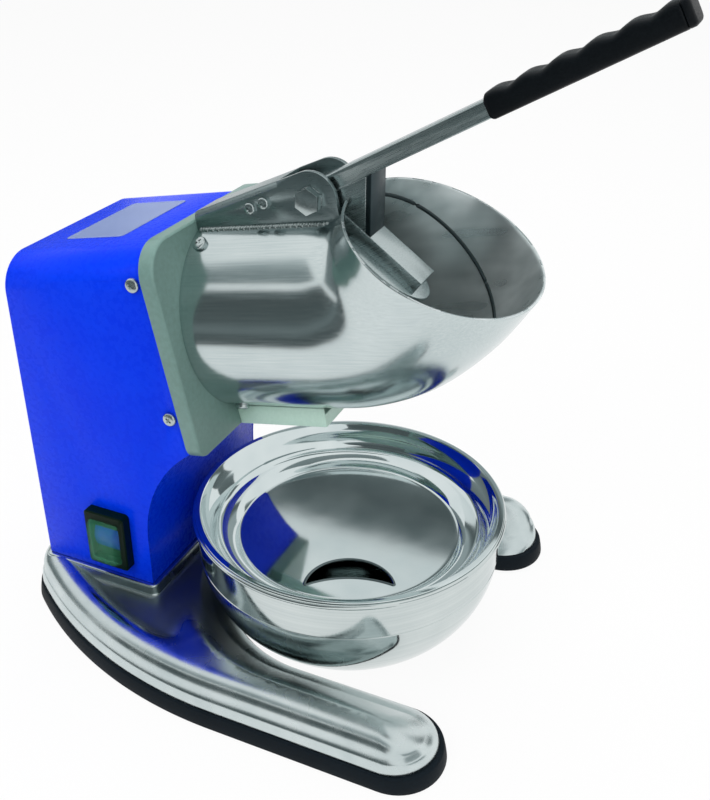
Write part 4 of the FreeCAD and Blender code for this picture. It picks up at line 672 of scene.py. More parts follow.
@dataclass
class Forms:
    """The small forms that repeat: screw heads, weld drops and louvres, in mm."""

    head: float = 4.3
    height: float = 2.6
    neck_depth: float = 1.2
    neck_share: float = 0.45
    bend_share: float = 0.55
    # The cross: half its length and width as shares of the head, its depth as a share of the
    # height, and how it tapers from its floor to its mouth.
    cross_long: float = 0.52
    cross_wide: float = 0.12
    cross_deep: float = 0.55
    cross_taper: tuple[float, float] = (0.35, 1.12)
    louvre_half: float = 17.0
    louvre_width: float = 5.0
    louvre_lift: float = 1.6
    louvre_root: float = 0.1
    louvre_floor: float = -0.8
    # Radius and height along one ripple of a weld.
    ripple: tuple = ((0.0, -0.9), (1.9, -0.9), (2.15, 0.0), (1.9, 0.75), (1.2, 1.3), (0.0, 1.55))

    def screw(self) -> bpy.types.Object:
        """A pan head with a cross recess and a short neck."""
        high, wide = self.height, self.head
        neck, bend, deep = self.neck_share * wide, self.bend_share * high, self.cross_deep * high
        half_long, half_wide = self.cross_long * wide, self.cross_wide * wide
        profile = [(0.0, -self.neck_depth), (neck, -self.neck_depth), (neck, 0.0), (wide, 0.0)]
        profile += arc((wide - bend, high - bend), bend, 0, 78, 7)
        profile += [(0.35 * wide, 1.04 * high), (0.0, 1.06 * high)]
        obj = lathe("form_screw", profile, count=40, sharp=40)
        verts = [(x * half_long * grow, y * half_wide * (0.6 + 0.5 * grow), z)
                 for z, grow in zip((high - deep, 1.3 * high), self.cross_taper)
                 for x, y in ((-1, -1), (1, -1), (1, 1), (-1, 1))]
        faces = [(0, 3, 2, 1), (4, 5, 6, 7), (0, 1, 5, 4), (1, 2, 6, 5), (2, 3, 7, 6), (3, 0, 4, 7)]
        for quarter in (0, 1):
            turn = Matrix.Rotation(quarter * math.pi / 2, 4, "Z")
            drilled(obj, make_object("cross", verts, faces, turn))
        return obj

    def drop(self) -> bpy.types.Object:
        """One ripple of a weld bead: a low dome."""
        return lathe("form_drop", self.ripple, count=14, sharp=80)

    def louvre(self) -> bpy.types.Object:
        """A pressed air louvre with a hooded lower edge."""
        verts, rows, columns = [], 7, 19
        for i in range(rows):
            for j in range(columns):
                u, v = j / (columns - 1) * 2 - 1, i / (rows - 1)
                lift = max(0.0, 1 - abs(u) ** 6) * math.sin(v * math.pi * 0.62) ** 0.8
                verts.append((u * self.louvre_half, (v - 0.5) * self.louvre_width,
                              self.louvre_lift * lift - self.louvre_root))
        top = len(verts)
        verts += [(x, y, self.louvre_floor) for x, y, _ in verts]
        faces = [(i * columns + j, i * columns + j + 1, (i + 1) * columns + j + 1,
                  (i + 1) * columns + j) for i in range(rows - 1) for j in range(columns - 1)]
        faces += shifted([face[::-1] for face in faces], top)
        rim = list(range(columns)) + [i * columns + columns - 1 for i in range(1, rows)]
        rim += [(rows - 1) * columns + j for j in range(columns - 2, -1, -1)]
        rim += [i * columns for i in range(rows - 2, 0, -1)]
        faces += [(a, top + a, top + b, b) for a, b in zip(rim, rim[1:] + rim[:1])]
        return make_object("form_louvre", verts, faces, sharp=60)


# ------------------------------------------------------------------ base

@dataclass
class Base:
    """The horseshoe base: rubber strip, buffed casting and bottom plate; sizes in mm."""

    leg_outer: float = 134.0
    toe_front: float = 106.0
    bay_radius: float = 76.0
    flank_start: float = -31.0
    flank_radius: float = 276.0
    rear: float = -207.0
    rear_corner: float = 35.0
    rear_shares: tuple[float, float] = (0.35, 0.7)
    # Points along the outline: rear corner, flank, side, toe, side of the bay, half the bay.
    corner_steps: int = 14
    flank_steps: int = 44
    side_steps: int = 16
    toe_steps: int = 30
    inner_steps: int = 14
    bay_steps: int = 24
    # Each ring of the skirt: height, then its insets outside, at the bay and at the toes.
    skirt: tuple = ((10.95, 3.2, 3.2, 5.2), (11.5, 2.7, 2.7, 5.0), (13.5, 2.7, 4.6, 5.4),
                    (16.0, 3.1, 8.4, 6.4), (18.4, 3.6, 12.5, 8.0), (19.6, 4.1, 15.0, 9.3))
    skirt_top: float = 20.0
    # The crown's insets outside, at the bay and at the toes: first, growth, and how it bends.
    crown: tuple = ((4.6, 13.0, 1.25), (15.8, 21.0, 1.0), (9.9, 25.0, 1.0))
    crown_rings: int = 16
    dome_power: float = 2.3
    slope_bend: float = 0.1
    slope_power: float = 6.0
    crest: float = 33.0
    crest_inset: float = 12.5
    deck: float = 24.5
    sink_start: float = -56.0
    sink_length: float = 36.0
    valley_gap: float = 4.5
    valley_width: float = 15.0
    net_step: float = 3.0
    net_gap: float = 0.6
    net_merge: float = 1e-4
    foot_low: tuple[float, float] = (-193.3, -71.8)
    foot_high: tuple[float, float] = (-105.7, 71.8)
    foot_top: float = 33.3
    foot_corner: float = 5.0
    foot_fillet: float = 3.1
    fillet_steps: int = 6
    # The foot's broken upper edge: how far down from its top, and how far out.
    foot_edge: tuple = ((1.6, 0.25), (0.8, 0.05), (0.45, -0.4), (0.3, -1.4))
    # Each ring of the rubber strip, in the order of the skirt's values.
    strip: tuple = ((0.0, 5.5, 5.5, 5.5), (0.0, 0.9, 0.9, 0.9), (0.35, 0.25, 0.25, 0.25),
                    (1.2, 0.0, 0.0, 0.0), (5.0, 0.5, 0.5, 0.6), (9.6, 1.4, 1.4, 1.6),
                    (10.7, 2.0, 2.0, 2.2), (11.0, 2.6, 2.6, 3.4), (11.0, 5.5, 5.5, 5.7))
    # Where the bottom screws sit: along and across, then their height.
    screw_spots: tuple = ((66.0, 105.0), (-10.0, 105.0), (-108.7, 90.0), (-178.3, 36.75))
    screw_seat: float = 9.5

    def outline(self, outer: float, inner: float, toe: float,
                z: float) -> list[tuple[float, float, float]]:
        """The closed outline at a height, moved in from the outside, the bay and the toes.

        Args:
            outer: Inset of the outer side.
            inner: Inset of the bay side.
            toe: Inset of the toes' fronts.
            z: Height of every point.

        Returns:
            Points round the horseshoe, equally many at any inset.
        """
        outside, bay = self.leg_outer - outer, self.bay_radius + inner
        toe_radius, toe_y = (outside - bay) / 2, (outside + bay) / 2
        toe_x = self.toe_front - toe - toe_radius
        flank_y = self.flank_radius - self.leg_outer
        corner_x = self.rear + self.rear_corner
        across = self.flank_start - corner_x
        corner_y = flank_y - math.sqrt((self.flank_radius - self.rear_corner) ** 2 - across ** 2)
        turn = math.degrees(math.atan2(corner_y - flank_y, corner_x - self.flank_start)) + 360
        near = [(self.rear + outer, share * corner_y) for share in self.rear_shares]
        near += arc((corner_x, corner_y), self.rear_corner - outer, 180, turn, self.corner_steps)
        near += arc((self.flank_start, flank_y), self.flank_radius - outer, turn, 270,
                    self.flank_steps)[1:]
        near += [(self.flank_start + (toe_x - self.flank_start) * k / self.side_steps, -outside)
                 for k in range(1, self.side_steps)]
        near += arc((toe_x, -toe_y), toe_radius, -90, 90, self.toe_steps)
        near += [(toe_x * (1 - k / self.inner_steps), -bay) for k in range(1, self.inner_steps)]
        half = near + arc((0, 0), bay, 270, 180, self.bay_steps)
        mirrored = [(x, -y) for x, y in reversed(half[:-1])]
        return [(x, y, z) for x, y in half + mirrored]

    def _from_outside(self, x: float, y: float) -> float:
        """How far a point lies inside the outer side."""
        flank_y = self.flank_radius - self.leg_outer
        if x >= self.flank_start:
            return self.leg_outer - abs(y)
        side = self.flank_radius - math.hypot(x - self.flank_start, abs(y) + flank_y)
        back, corner = x - self.rear, self.rear_corner
        if side < corner and back < corner:
            return corner - math.hypot(corner - side, corner - back)
        return min(side, back)

    def _sunk(self, x: float, y: float, z: float) -> float:
        """Lower a height to the deck behind the bay, inside the crest."""
        sink = soft_step((self.sink_start - x) / self.sink_length)
        start = self.crest_inset + self.valley_gap
        away = soft_step((self._from_outside(x, y) - start) / self.valley_width)
        valley = self.deck + (self.crest - self.deck) * (1 - away)
        return z * (1 - sink) + min(z, valley) * sink

    def _across(self, share: float, outer: float) -> float:
        """Height of a ring of the top; outer is 1 on the outer side and 0 at the bay."""
        rise, bend = self.crest - self.skirt_top, self.slope_bend
        dome = self.skirt_top + rise * max(1 - (1 - share) ** self.dome_power, 0.0) ** 0.5
        slope = self.skirt_top + rise * ((1 + bend) * share - bend * share ** self.slope_power)
        return min(dome * outer + slope * (1 - outer), self.crest)

    def casting(self) -> bpy.types.Object:
        """The casting: a steep skirt and a domed top in rings, then a net over the deck."""
        rings = [self.outline(o, i, toe, z) for z, o, i, toe in self.skirt]
        weights = self._outer_weights(len(rings[0]))
        for k in range(self.crown_rings + 1):
            share = k / self.crown_rings
            insets = [first + growth * share ** bend for first, growth, bend in self.crown]
            rings.append([(x, y, self._sunk(x, y, self._across(share, w)))
                          for (x, y, _), w in zip(self.outline(*insets, 0.0), weights)])
        verts = [p for ring in rings for p in ring]
        faces = ring_faces(len(rings), len(rings[0]))
        self._fill(verts, faces, rings[-1], self.net_step)
        self._fill(verts, faces, rings[0], 0.0)
        self._foot(verts, faces)
        return make_object("base_casting_buffed", verts, faces, sharp=ROUND_SHARP)

    def _outer_weights(self, count: int) -> list[float]:
        """For each outline point, 1 on the outer side, 0 at the bay, soft over the toes."""
        first = len(self.rear_shares) + self.corner_steps + self.flank_steps + self.side_steps - 1
        half = [soft_step((first + self.toe_steps - k) / self.toe_steps)
                for k in range((count + 1) // 2)]
        return half + half[-2::-1]

    def _fill(self, verts: list, faces: list, border: Sequence[Point], step: float) -> None:
        """Close a ring with a net of points at a step, or with no points at 0.

        Args:
            verts: The mesh's points, which grow.
            faces: The mesh's faces, which grow.
            border: The ring to close.
            step: Distance between the net's points.
        """
        flat = [Vector(p[:2]) for p in border]
        inside = []
        if step:
            reach = int(self.leg_outer / step)
            grid = [Vector((i * step, j * step))
                    for i in range(int(self.rear / step), int(self.toe_front / step))
                    for j in range(-reach, reach + 1)]
            inside = [spot for spot in grid if self._inside(spot, flat)
                      and self._clear(spot, flat, self.net_gap * step)]
        edges = [(k, (k + 1) % len(flat)) for k in range(len(flat))]
        net = delaunay_2d_cdt(flat + inside, edges, [], INSIDE_ONLY, self.net_merge)
        base = len(verts)
        for k, spot in enumerate(net[0]):
            z = self._sunk(spot.x, spot.y, self.crest) if step else border[0][2]
            verts.append((spot.x, spot.y, border[k][2] if k < len(border) else z))
        faces += shifted(net[2], base)

    def _foot(self, verts: list, faces: list) -> None:
        """Add the raised foot under the housing, with a fillet where it leaves the deck."""
        (x0, y0), (x1, y1) = self.foot_low, self.foot_high
        ground, top, fillet = self.deck + 0.1, self.foot_top, self.foot_fillet
        levels = [(self.deck - 2.0, fillet + 0.5), (ground, fillet + 0.3)]
        for k in range(1, self.fillet_steps + 1):
            turn = k * math.pi / (2 * self.fillet_steps)
            levels.append((ground + fillet * (1 - math.cos(turn)),
                           0.3 + fillet * (1 - math.sin(turn))))
        levels += [(top - down, grow) for down, grow in self.foot_edge]
        rings = [[(x, y, z) for x, y in rounded((x0 - grow, y0 - grow), (x1 + grow, y1 + grow),
                                                self.foot_corner + grow, 8)]
                 for z, grow in levels]
        faces += shifted(capped_faces(len(rings), len(rings[0])), len(verts))
        verts += [p for ring in rings for p in ring]

    @staticmethod
    def _inside(spot: Vector, loop: Sequence[Vector]) -> bool:
        """Whether a point is inside a closed loop."""
        odd = False
        for a, b in zip(loop, loop[1:] + loop[:1]):
            if (a.y > spot.y) != (b.y > spot.y):
                if spot.x < (b.x - a.x) * (spot.y - a.y) / (b.y - a.y) + a.x:
                    odd = not odd
        return odd

    @staticmethod
    def _clear(spot: Vector, loop: Sequence[Vector], gap: float) -> bool:
        """Whether a point keeps a gap from every point of a loop."""
        return all(abs(p.x - spot.x) > gap or (p - spot).length > gap for p in loop)

    def rubber(self) -> bpy.types.Object:
        """The rubber strip: a rounded band with a small lip over the casting's edge."""
        rings = [self.outline(o, i, toe, z) for z, o, i, toe in self.strip]
        faces = ring_faces(len(rings), len(rings[0]), joined=True)
        return make_object("base_rubber_band", [p for r in rings for p in r], faces, sharp=ROUND_SHARP)

    def build(self, scatter: Scatter, screw: bpy.types.Object) -> None:
        """Build and mount every piece of the base."""
        mount(self.casting(), BASE_ALLOY, "frame", ["base_casting"])
        mount(self.rubber(), RUBBER, "frame", ["base_rubber_strip"])
        fine_copy("base_bottom_plate", PLAIN_STEEL, edge=0.2)
        places = [(Vector((x, side * y, self.screw_seat)), Vector((0, 0, -1)))
                  for x, y in self.screw_spots for side in (-1, 1)]
        scatter.place("bottom_screw_heads", screw, places, PLAIN_STEEL, ["bottom_plate_screws"])


# ------------------------------------------------------------------ housing

@dataclass
class Housing:
    """The painted motor housing with its panels, plate, switch and inner parts; sizes in mm."""

    half: float = 68.8
    rear: float = -190.3
    top: float = 57.9
    plate_low: tuple[float, float] = (-84.0, -35.0)
    plate_high: tuple[float, float] = (-42.0, 35.0)
    plate_corner: float = 3.0
    # Inset and height of each ring of the blank plate, from its foot over the pressed border.
    plate_rings: tuple = ((0.0, 0.02), (0.0, 0.38), (0.25, 0.5), (1.6, 0.5), (1.9, 0.36),
                          (2.6, 0.36))
    bezel_low: tuple[float, float] = (-151.8, 43.2)
    bezel_high: tuple[float, float] = (-121.8, 84.0)
    bezel_corner: float = 2.6
    bezel_out: float = 7.0
    bezel_chamfer: float = 0.8
    window_low: tuple[float, float] = (-148.3, 47.5)
    window_high: tuple[float, float] = (-126.1, 78.4)
    window_corner: float = 2.0
    recess: float = 1.6
    cover_out: float = 12.0
    # Inset and depth of each ring of the clear box: its outer skin, then its inner one.
    cover_rings: tuple = ((0.1, 5.0), (0.1, 4.2), (1.3, 0.6), (1.9, 0.0), (2.5, 0.8), (2.0, 1.3),
                          (0.9, 4.4), (0.9, 5.0))
    side_screws: tuple[float, float] = (-15.4, 41.0)
    back_screw_inset: float = 12.0
    back_screw_heights: tuple[float, float] = (47.3, 194.0)
    louvre_side: float = 21.0
    louvre_start: float = 112.0
    louvre_pitch: float = 9.0
    louvre_rows: int = 8

    def panels(self) -> None:
        """Wrap, cove, back and floor, with their cut edges broken."""
        fine_copy("housing_shell", BLUE_ENAMEL, edge=0.45, sharp=SHEET_SHARP)
        fine_copy("housing_cove_panel", BLUE_ENAMEL, edge=0.4, sharp=SHEET_SHARP)
        fine_copy("housing_back_panel", BLUE_ENAMEL, edge=0.4, sharp=SHEET_SHARP)
        fine_copy("housing_floor", PLAIN_STEEL, edge=0.3)

    def blank_plate(self) -> None:
        """A bare foil plate with rounded corners and a pressed border."""
        (x0, y0), (x1, y1) = self.plate_low, self.plate_high
        verts = []
        for inset, z in self.plate_rings:
            outline = rounded((x0 + inset, y0 + inset), (x1 - inset, y1 - inset),
                              self.plate_corner - 0.6 * inset)
            verts += [(x, y, self.top + z) for x, y in outline]
        rings = len(self.plate_rings)
        faces = capped_faces(rings, len(verts) // rings)
        plate = make_object("blank_plate", verts, faces, HEAD, ROUND_SHARP)
        mount(plate, FOIL, "frame", ["label_plate"])

    def _window(self, inset: float, y: float) -> list[Point]:
        """The switch window's rounded edge, moved in by an inset, at a depth."""
        (x0, z0), (x1, z1) = self.window_low, self.window_high
        return [(x, y, z) for x, z in rounded((x0 + inset, z0 + inset), (x1 - inset, z1 - inset),
                                              self.window_corner)]

    def bezel(self) -> bpy.types.Object:
        """The raised switch frame, with a recess for the rocker."""
        (x0, z0), (x1, z1) = self.bezel_low, self.bezel_high
        inset, corner = self.bezel_chamfer, self.bezel_corner
        front = -self.half - self.bezel_out
        outer = rounded(self.bezel_low, self.bezel_high, corner)
        chamfer = rounded((x0 + inset, z0 + inset), (x1 - inset, z1 - inset), corner - inset / 2)
        verts = [(x, y, z) for y in (0.1 - self.half, front + inset) for x, z in outer]
        verts += [(x, front, z) for x, z in chamfer]
        verts += self._window(0.0, front) + self._window(0.3, -self.half - self.recess)
        return make_object("switch_frame_raised", verts, capped_faces(5, len(outer)),
                           sharp=SHEET_SHARP)

    def cover(self) -> bpy.types.Object:
        """The clear box over the rocker: a thin tapered shell."""
        front = -self.half - self.cover_out
        verts = [point for inset, depth in self.cover_rings
                 for point in self._window(inset, front + depth)]
        skin = len(self.cover_rings) // 2
        count = len(verts) // (2 * skin)
        last = len(verts) - count
        faces = ring_faces(skin, count)
        faces += shifted(faces, skin * count)
        faces += [(j, (j + 1) % count, last + (j + 1) % count, last + j) for j in range(count)]
        faces += [tuple(range(start, start + count)) for start in ((skin - 1) * count, skin * count)]
        return make_object("switch_clear_box", verts, faces, sharp=SHEET_SHARP)

    def switch(self) -> None:
        """Raised frame, rocker and the clear box over them."""
        mount(self.bezel(), BEZEL_NYLON, "frame", ["switch_bezel"])
        fine_copy("switch_rocker", ROCKER_GLOSS, edge=0.5, sharp=SHEET_SHARP, segments=FINE_SEGMENTS)
        mount(self.cover(), COVER_CLEAR, "frame", ["switch_cover"])
        fine_copy("cord_gland", NYLON, edge=0.6, sharp=SHEET_SHARP, segments=FINE_SEGMENTS)

    def inside(self) -> None:
        """Motor and electrics, dressed for the views that open the housing."""
        fine_copies(RAW_ALLOY, 0.5, "motor_front_bell", "motor_rear_bell")
        fine_copies(PLAIN_STEEL, 0.3, "motor_stator", "motor_rotor", "front_bearing",
                    "rear_bearing", "motor_bolts", "capacitor_clamp", "housing_bolts")
        fine_copy("motor_windings", COPPER, edge=1.2)
        fine_copy("motor_shaft", SCREW_STEEL, edge=0.4)
        fine_copy("cooling_fan", NYLON, edge=0.3)
        fine_copy("shaft_seal", RUBBER, edge=0.3)
        fine_copy("run_capacitor", CAN_METAL, edge=0.8)
        fine_copy("terminal_block", MELAMINE, edge=0.5)

    def build(self, scatter: Scatter, forms: Forms, screw: bpy.types.Object) -> None:
        """Build and mount the housing."""
        self.panels()
        self.blank_plate()
        self.switch()
        self.inside()
        along, rise = self.side_screws
        side = [(HEAD @ Vector((along, s * self.half, up * rise)), Vector((0, s, 0)))
                for s in (-1, 1) for up in (-1, 1)]
        scatter.place("side_screw_heads", screw, side, SCREW_STEEL, ["side_screws"])
        corner = [(Vector((self.rear, s * (self.half - self.back_screw_inset), z)),
                   Vector((-1, 0, 0))) for s in (-1, 1) for z in self.back_screw_heights]
        scatter.place("back_screw_heads", screw, corner, SCREW_STEEL, ["back_panel_screws"], 0.78)
        rows = [(Vector((self.rear, s * self.louvre_side, self.louvre_start + self.louvre_pitch * k)),
                 Vector((-1, 0, 0))) for s in (-1, 1) for k in range(self.louvre_rows)]
        louvre = forms.louvre()
        scatter.place("air_louvres", louvre, rows, BLUE_ENAMEL, turn=0.0)
        bpy.data.objects.remove(louvre)


# ------------------------------------------------------------------ hopper

@dataclass
class Hopper:
    """The polished tube that flares into the scoop, in the head's frame; sizes in mm."""

    radius: float = 58.9
    wall: float = 1.5
    length: float = 62.0
    # Each section past the tube: how far on its top is and how far that has risen, how far on
    # its bottom is and how far that has risen, and how much its half width has grown.
    flare: tuple = ((16, 0, 33, 2.5, 0), (24, 1, 68, 14, 2), (28.5, 4.5, 101, 36.5, 7),
                    (31.5, 9.3, 125.9, 61.8, 11.8))
    spans: int = 9
    count: int = 144
    # The slot's box: where it starts and ends along, across and up.
    slot: tuple = ((64.0, 124.0), (-17.0, 7.0), (20.0, 100.0))
    seam_ring: int = 43
    seam_bead: float = 1.2
    seam_turns: range = range(14, 343, 3)
    ring_screw_along: float = 7.0
    ring_screw_turn: float = 31.6
    bracket_middle: float = -5.0
    weld_side: float = 15.4
    weld_start: float = 3.0
    weld_pitch: float = 1.85
    weld_ripples: int = 44
    weld_size: float = 0.86
    # How far the run wanders, how fast it does, and which way each ripple leans.
    weld_wander: float = 0.25
    weld_phase: float = 9.1
    weld_lean: tuple[float, float] = (0.3, 0.7)
    micro_middle: Point = (42.0, -20.0, 67.2)
    micro_reach: float = 4.75
    micro_slope: float = 14.7

    def sections(self) -> list[tuple[float, ...]]:
        """Top x and z, bottom x and z, and half width of each main section."""
        r, end = self.radius, self.length
        tube = [(x, r, x, -r, r) for x in (0.1, end * 0.5, end)]
        return tube + [(end + top, r + lift, end + bottom, rise - r, r + grow)
                       for top, lift, bottom, rise, grow in self.flare]

    def rings(self) -> list[tuple[Vector, Vector, float]]:
        """Centre, way up and half width of every ring along the tube and scoop."""
        return [(Vector(((tx + bx) / 2, 0, (tz + bz) / 2)), Vector(((tx - bx) / 2, 0, (tz - bz) / 2)),
                 half) for tx, tz, bx, bz, half in smooth_path(self.sections(), self.spans)]

    def dress_inside(self, obj: bpy.types.Object) -> None:
        """Give the faces that look at the middle line the satin finish with its painted highlights."""
        obj.data.materials.append(MOUTH_STEEL.material())
        back, rings = HEAD.inverted(), self.rings()
        turn = back.to_3x3()
        for face in obj.data.polygons:
            spot, way = back @ (face.center / MM), turn @ face.normal
            centre = min(rings, key=lambda ring: abs((spot - ring[0]).cross(ring[1]).y)
                         / ring[1].length)[0]
            face.material_index = int(way.dot(spot - centre) < 0)

    def shell(self) -> bpy.types.Object:
        """The tube and scoop as one wall, with the slot that the pusher swings through."""
        count, rings, verts = self.count, self.rings(), []
        for inset in (0.0, self.wall):
            for centre, up, half in rings:
                share = (up.length - inset) / up.length
                verts += [centre + up * share * c + Vector((0, (half - inset) * s, 0))
                          for c, s in around(count)]
        total = len(rings) * count
        last = total - count
        outer = ring_faces(len(rings), count)
        faces = outer + [tuple(total + k for k in reversed(f)) for f in outer]
        for j in range(count):
            k = (j + 1) % count
            faces += [(j, total + j, total + k, k),
                      (last + j, last + k, total + last + k, total + last + j)]
        obj = make_object("hopper_polished", verts, faces, HEAD, ROUND_SHARP)
        box = [(x, y, z) for x in self.slot[0] for y in self.slot[1] for z in self.slot[2]]
        quads = [(0, 1, 3, 2), (4, 6, 7, 5), (0, 4, 5, 1), (2, 3, 7, 6), (0, 2, 6, 4), (1, 5, 7, 3)]
        return drilled(obj, make_object("slot", box, quads, HEAD))

    def seam(self) -> bpy.types.Object:
        """The bead inside the mouth, where its lip is rolled on."""
        centre, up, half = self.rings()[self.seam_ring]
        share = 1 - self.wall / up.length
        path = []
        for turn in self.seam_turns:
            angle = math.radians(turn)
            path.append(centre + up * share * math.cos(angle)
                        + Vector((0, (half - self.wall) * math.sin(angle), 0)))
        return tube_along("mouth_seam_bead", path, self.seam_bead, 8, HEAD)

    def ring_screws(self, scatter: Scatter, screw: bpy.types.Object) -> None:
        """Three radial screws round the tube's seat."""
        spots = []
        for turn in (0, 120, 240):
            angle = math.radians(self.ring_screw_turn + turn)
            out = Vector((0, -math.sin(angle), math.cos(angle)))
            spots.append((HEAD @ (out * self.radius + Vector((self.ring_screw_along, 0, 0))),
                          HEAD.to_3x3() @ out))
        scatter.place("ring_screw_heads", screw, spots, SCREW_STEEL, ["hopper_screws"])

    def weld(self, scatter: Scatter, forms: Forms) -> None:
        """A run of ripples along each foot of the bracket, which wanders a little."""
        drop, beads = forms.drop(), []
        along, aside = self.weld_lean
        for side in (-1, 1):
            y = self.bracket_middle + side * self.weld_side
            z = math.sqrt(self.radius ** 2 - y ** 2) + 0.1
            beads += [(HEAD @ Vector((self.weld_start + self.weld_pitch * k,
                                      y + self.weld_wander * math.sin(self.weld_phase * k), z)),
                       HEAD.to_3x3() @ Vector((along, side * aside, 1.0)))
                      for k in range(self.weld_ripples)]
        scatter.place("bracket_weld_beads", drop, beads, WELD_STEEL, ["bracket_weld"],
                      self.weld_size)
        bpy.data.objects.remove(drop)

    def micro_screws(self, scatter: Scatter, screw: bpy.types.Object) -> None:
        """The two small screws that hold the safety switch in the bracket."""
        slope = math.radians(self.micro_slope)
        reach = Vector((math.cos(slope), 0.0, math.sin(slope))) * self.micro_reach
        spots = [(HEAD @ (Vector(self.micro_middle) + reach * s), Vector((0, -1, 0)))
                 for s in (-1, 1)]
        scatter.place("micro_screw_heads", screw, spots, SCREW_STEEL, ["safety_switch_screws"], 0.8)

    def build(self, scatter: Scatter, forms: Forms, screw: bpy.types.Object) -> None:
        """Build and mount the hopper, chute, plate and disc."""
        # The seam bead's dark colour is painted shadow at the lap.
        mount(self.seam(), SEAM_STEEL, "frame")
        self.dress_inside(mount(bevelled(self.shell(), 0.35, 2, ROUND_SHARP), TUBE_STEEL, "frame",
                                ["hopper_tube", "hopper_mouth"]))
        fine_copy("front_plate", HEAD_ENAMEL, edge=0.5, sharp=SHEET_SHARP, segments=FINE_SEGMENTS)
        fine_copy("discharge_chute", PALE_ENAMEL, edge=0.35, sharp=SHEET_SHARP)
        fine_copy("lever_bracket", BRACKET_STEEL, edge=0.35, sharp=SHEET_SHARP)
        self.ring_screws(scatter, screw)
        self.weld(scatter, forms)
        for node in ("pivot_bolt", "pivot_nut"):
            fine_copy(node, SCREW_STEEL, edge=0.5, sharp=SHEET_SHARP, segments=FINE_SEGMENTS)
        fine_copy("pivot_washers", PLAIN_STEEL, edge=0.2)
        fine_copy("safety_switch_body", NYLON, edge=0.4)
        fine_copy("safety_switch_plunger", ROCKER_GLOSS, edge=0.3)
        self.micro_screws(scatter, screw)
        fine_copy("blade_disc", RAW_ALLOY, edge=0.5)
        fine_copies(SCREW_STEEL, 0.25, "ice_blades", "spindle_nut", "blade_screws")


# ------------------------------------------------------------------ lever

@dataclass
class Lever:
    """The lever bar with its moulded grip and the pusher welded below it; sizes in mm."""

    grip_start: float = 107.0
    grip_end: float = 203.0
    rise: float = 2.6
    bar_half: float = 10.0
    bar_height: float = 9.0
    wall: float = 1.5
    wave: float = 1.8
    waves: int = 5
    wave_power: float = 0.75
    # Lengths over which the grip's two ends round off, and how much narrower they get.
    end_lengths: tuple[float, float] = (1.6, 0.9)
    end_step: float = 0.25
    end_narrowing: float = 0.07
    squareness: float = 0.38
    plate_share: float = 0.62
    rows: int = 150
    count: int = 40
    # How far out each ring of the end cap lies, and its share of the cap's full size.
    cap_rings: tuple = ((-0.6, 0.90), (0.0, 0.90), (0.35, 1.0), (2.4, 1.0), (3.4, 0.94),
                        (3.9, 0.84), (4.0, 0.7))

    def _section(self, x: float, half_y: float, middle: float, half_z: float) -> list[Point]:
        """One ring of the grip: a rectangle with very round corners."""
        power = self.squareness
        return [(x, half_y * math.copysign(abs(c) ** power, c),
                 middle + half_z * math.copysign(abs(s) ** power, s))
                for c, s in around(self.count)]

    def grip(self) -> bpy.types.Object:
        """The grip: rounded sections with finger waves along the top."""
        start, end = self.grip_start, self.grip_end
        pitch = (end - start) / (self.waves + 0.5)
        verts = []
        for i in range(self.rows + 1):
            x = start + (end - start) * i / self.rows
            phase = (x - start) / pitch - 0.25
            lift = self.wave * (0.5 + 0.5 * math.cos(2 * math.pi * phase)) ** self.wave_power
            # The first and the last rings draw in, so the ends are rounded.
            soft = min(1.0, (x - start + self.end_step) / self.end_lengths[0],
                       (end - x + self.end_step) / self.end_lengths[1]) ** 0.5
            half_y = (self.bar_half + self.wall) * (1 - self.end_narrowing * (1 - soft))
            low = self.rise - self.bar_height / 2 - self.wall * soft
            high = self.rise + self.bar_height / 2 + self.wall * soft + lift * soft
            verts += self._section(x, half_y, (high + low) / 2, (high - low) / 2)
        return make_object("grip_moulding", verts, capped_faces(self.rows + 1, self.count),
                           LEVER, 60)

    def cap(self) -> bpy.types.Object:
        """The end cap, with a groove where it meets the grip."""
        high = self.rise + self.bar_height / 2 + self.wall + self.wave
        low = self.rise - self.bar_height / 2 - self.wall
        half_y, middle, half_z = self.bar_half + self.wall, (high + low) / 2, (high - low) / 2
        verts = [point for out, size in self.cap_rings
                 for point in self._section(self.grip_end + out, half_y * size, middle,
                                            half_z * size)]
        return make_object("grip_cap", verts, capped_faces(len(self.cap_rings), self.count),
                           LEVER, 60)

    def build(self) -> None:
        """Build and mount the lever."""
        mount(self.grip(), GRIP_VINYL, "lever", ["lever_grip"])
        mount(self.cap(), GRIP_VINYL, "lever", ["grip_end_cap"])
        fine_copy("lever_arm", SATIN_STEEL, edge=0.8, sharp=SHEET_SHARP, segments=FINE_SEGMENTS)
        fine_copy("pivot_bush", NYLON, edge=0.2)
        for node in ("pusher_gusset", "pusher_channel"):
            fine_copy(node, SATIN_STEEL, edge=0.35, sharp=SHEET_SHARP)
        plate = fine_copy("pusher_plate", SATIN_STEEL, edge=0.35, sharp=SHEET_SHARP)
        middle = PIVOT.y * MM
        for corner in plate.data.vertices:
            corner.co.y = middle + (corner.co.y - middle) * self.plate_share
        # The strut's dark colour is painted shade under the lever bar.
        fine_copy("pusher_strut", SCALE_STEEL, edge=0.35, sharp=SHEET_SHARP)


# ------------------------------------------------------------------ bowl

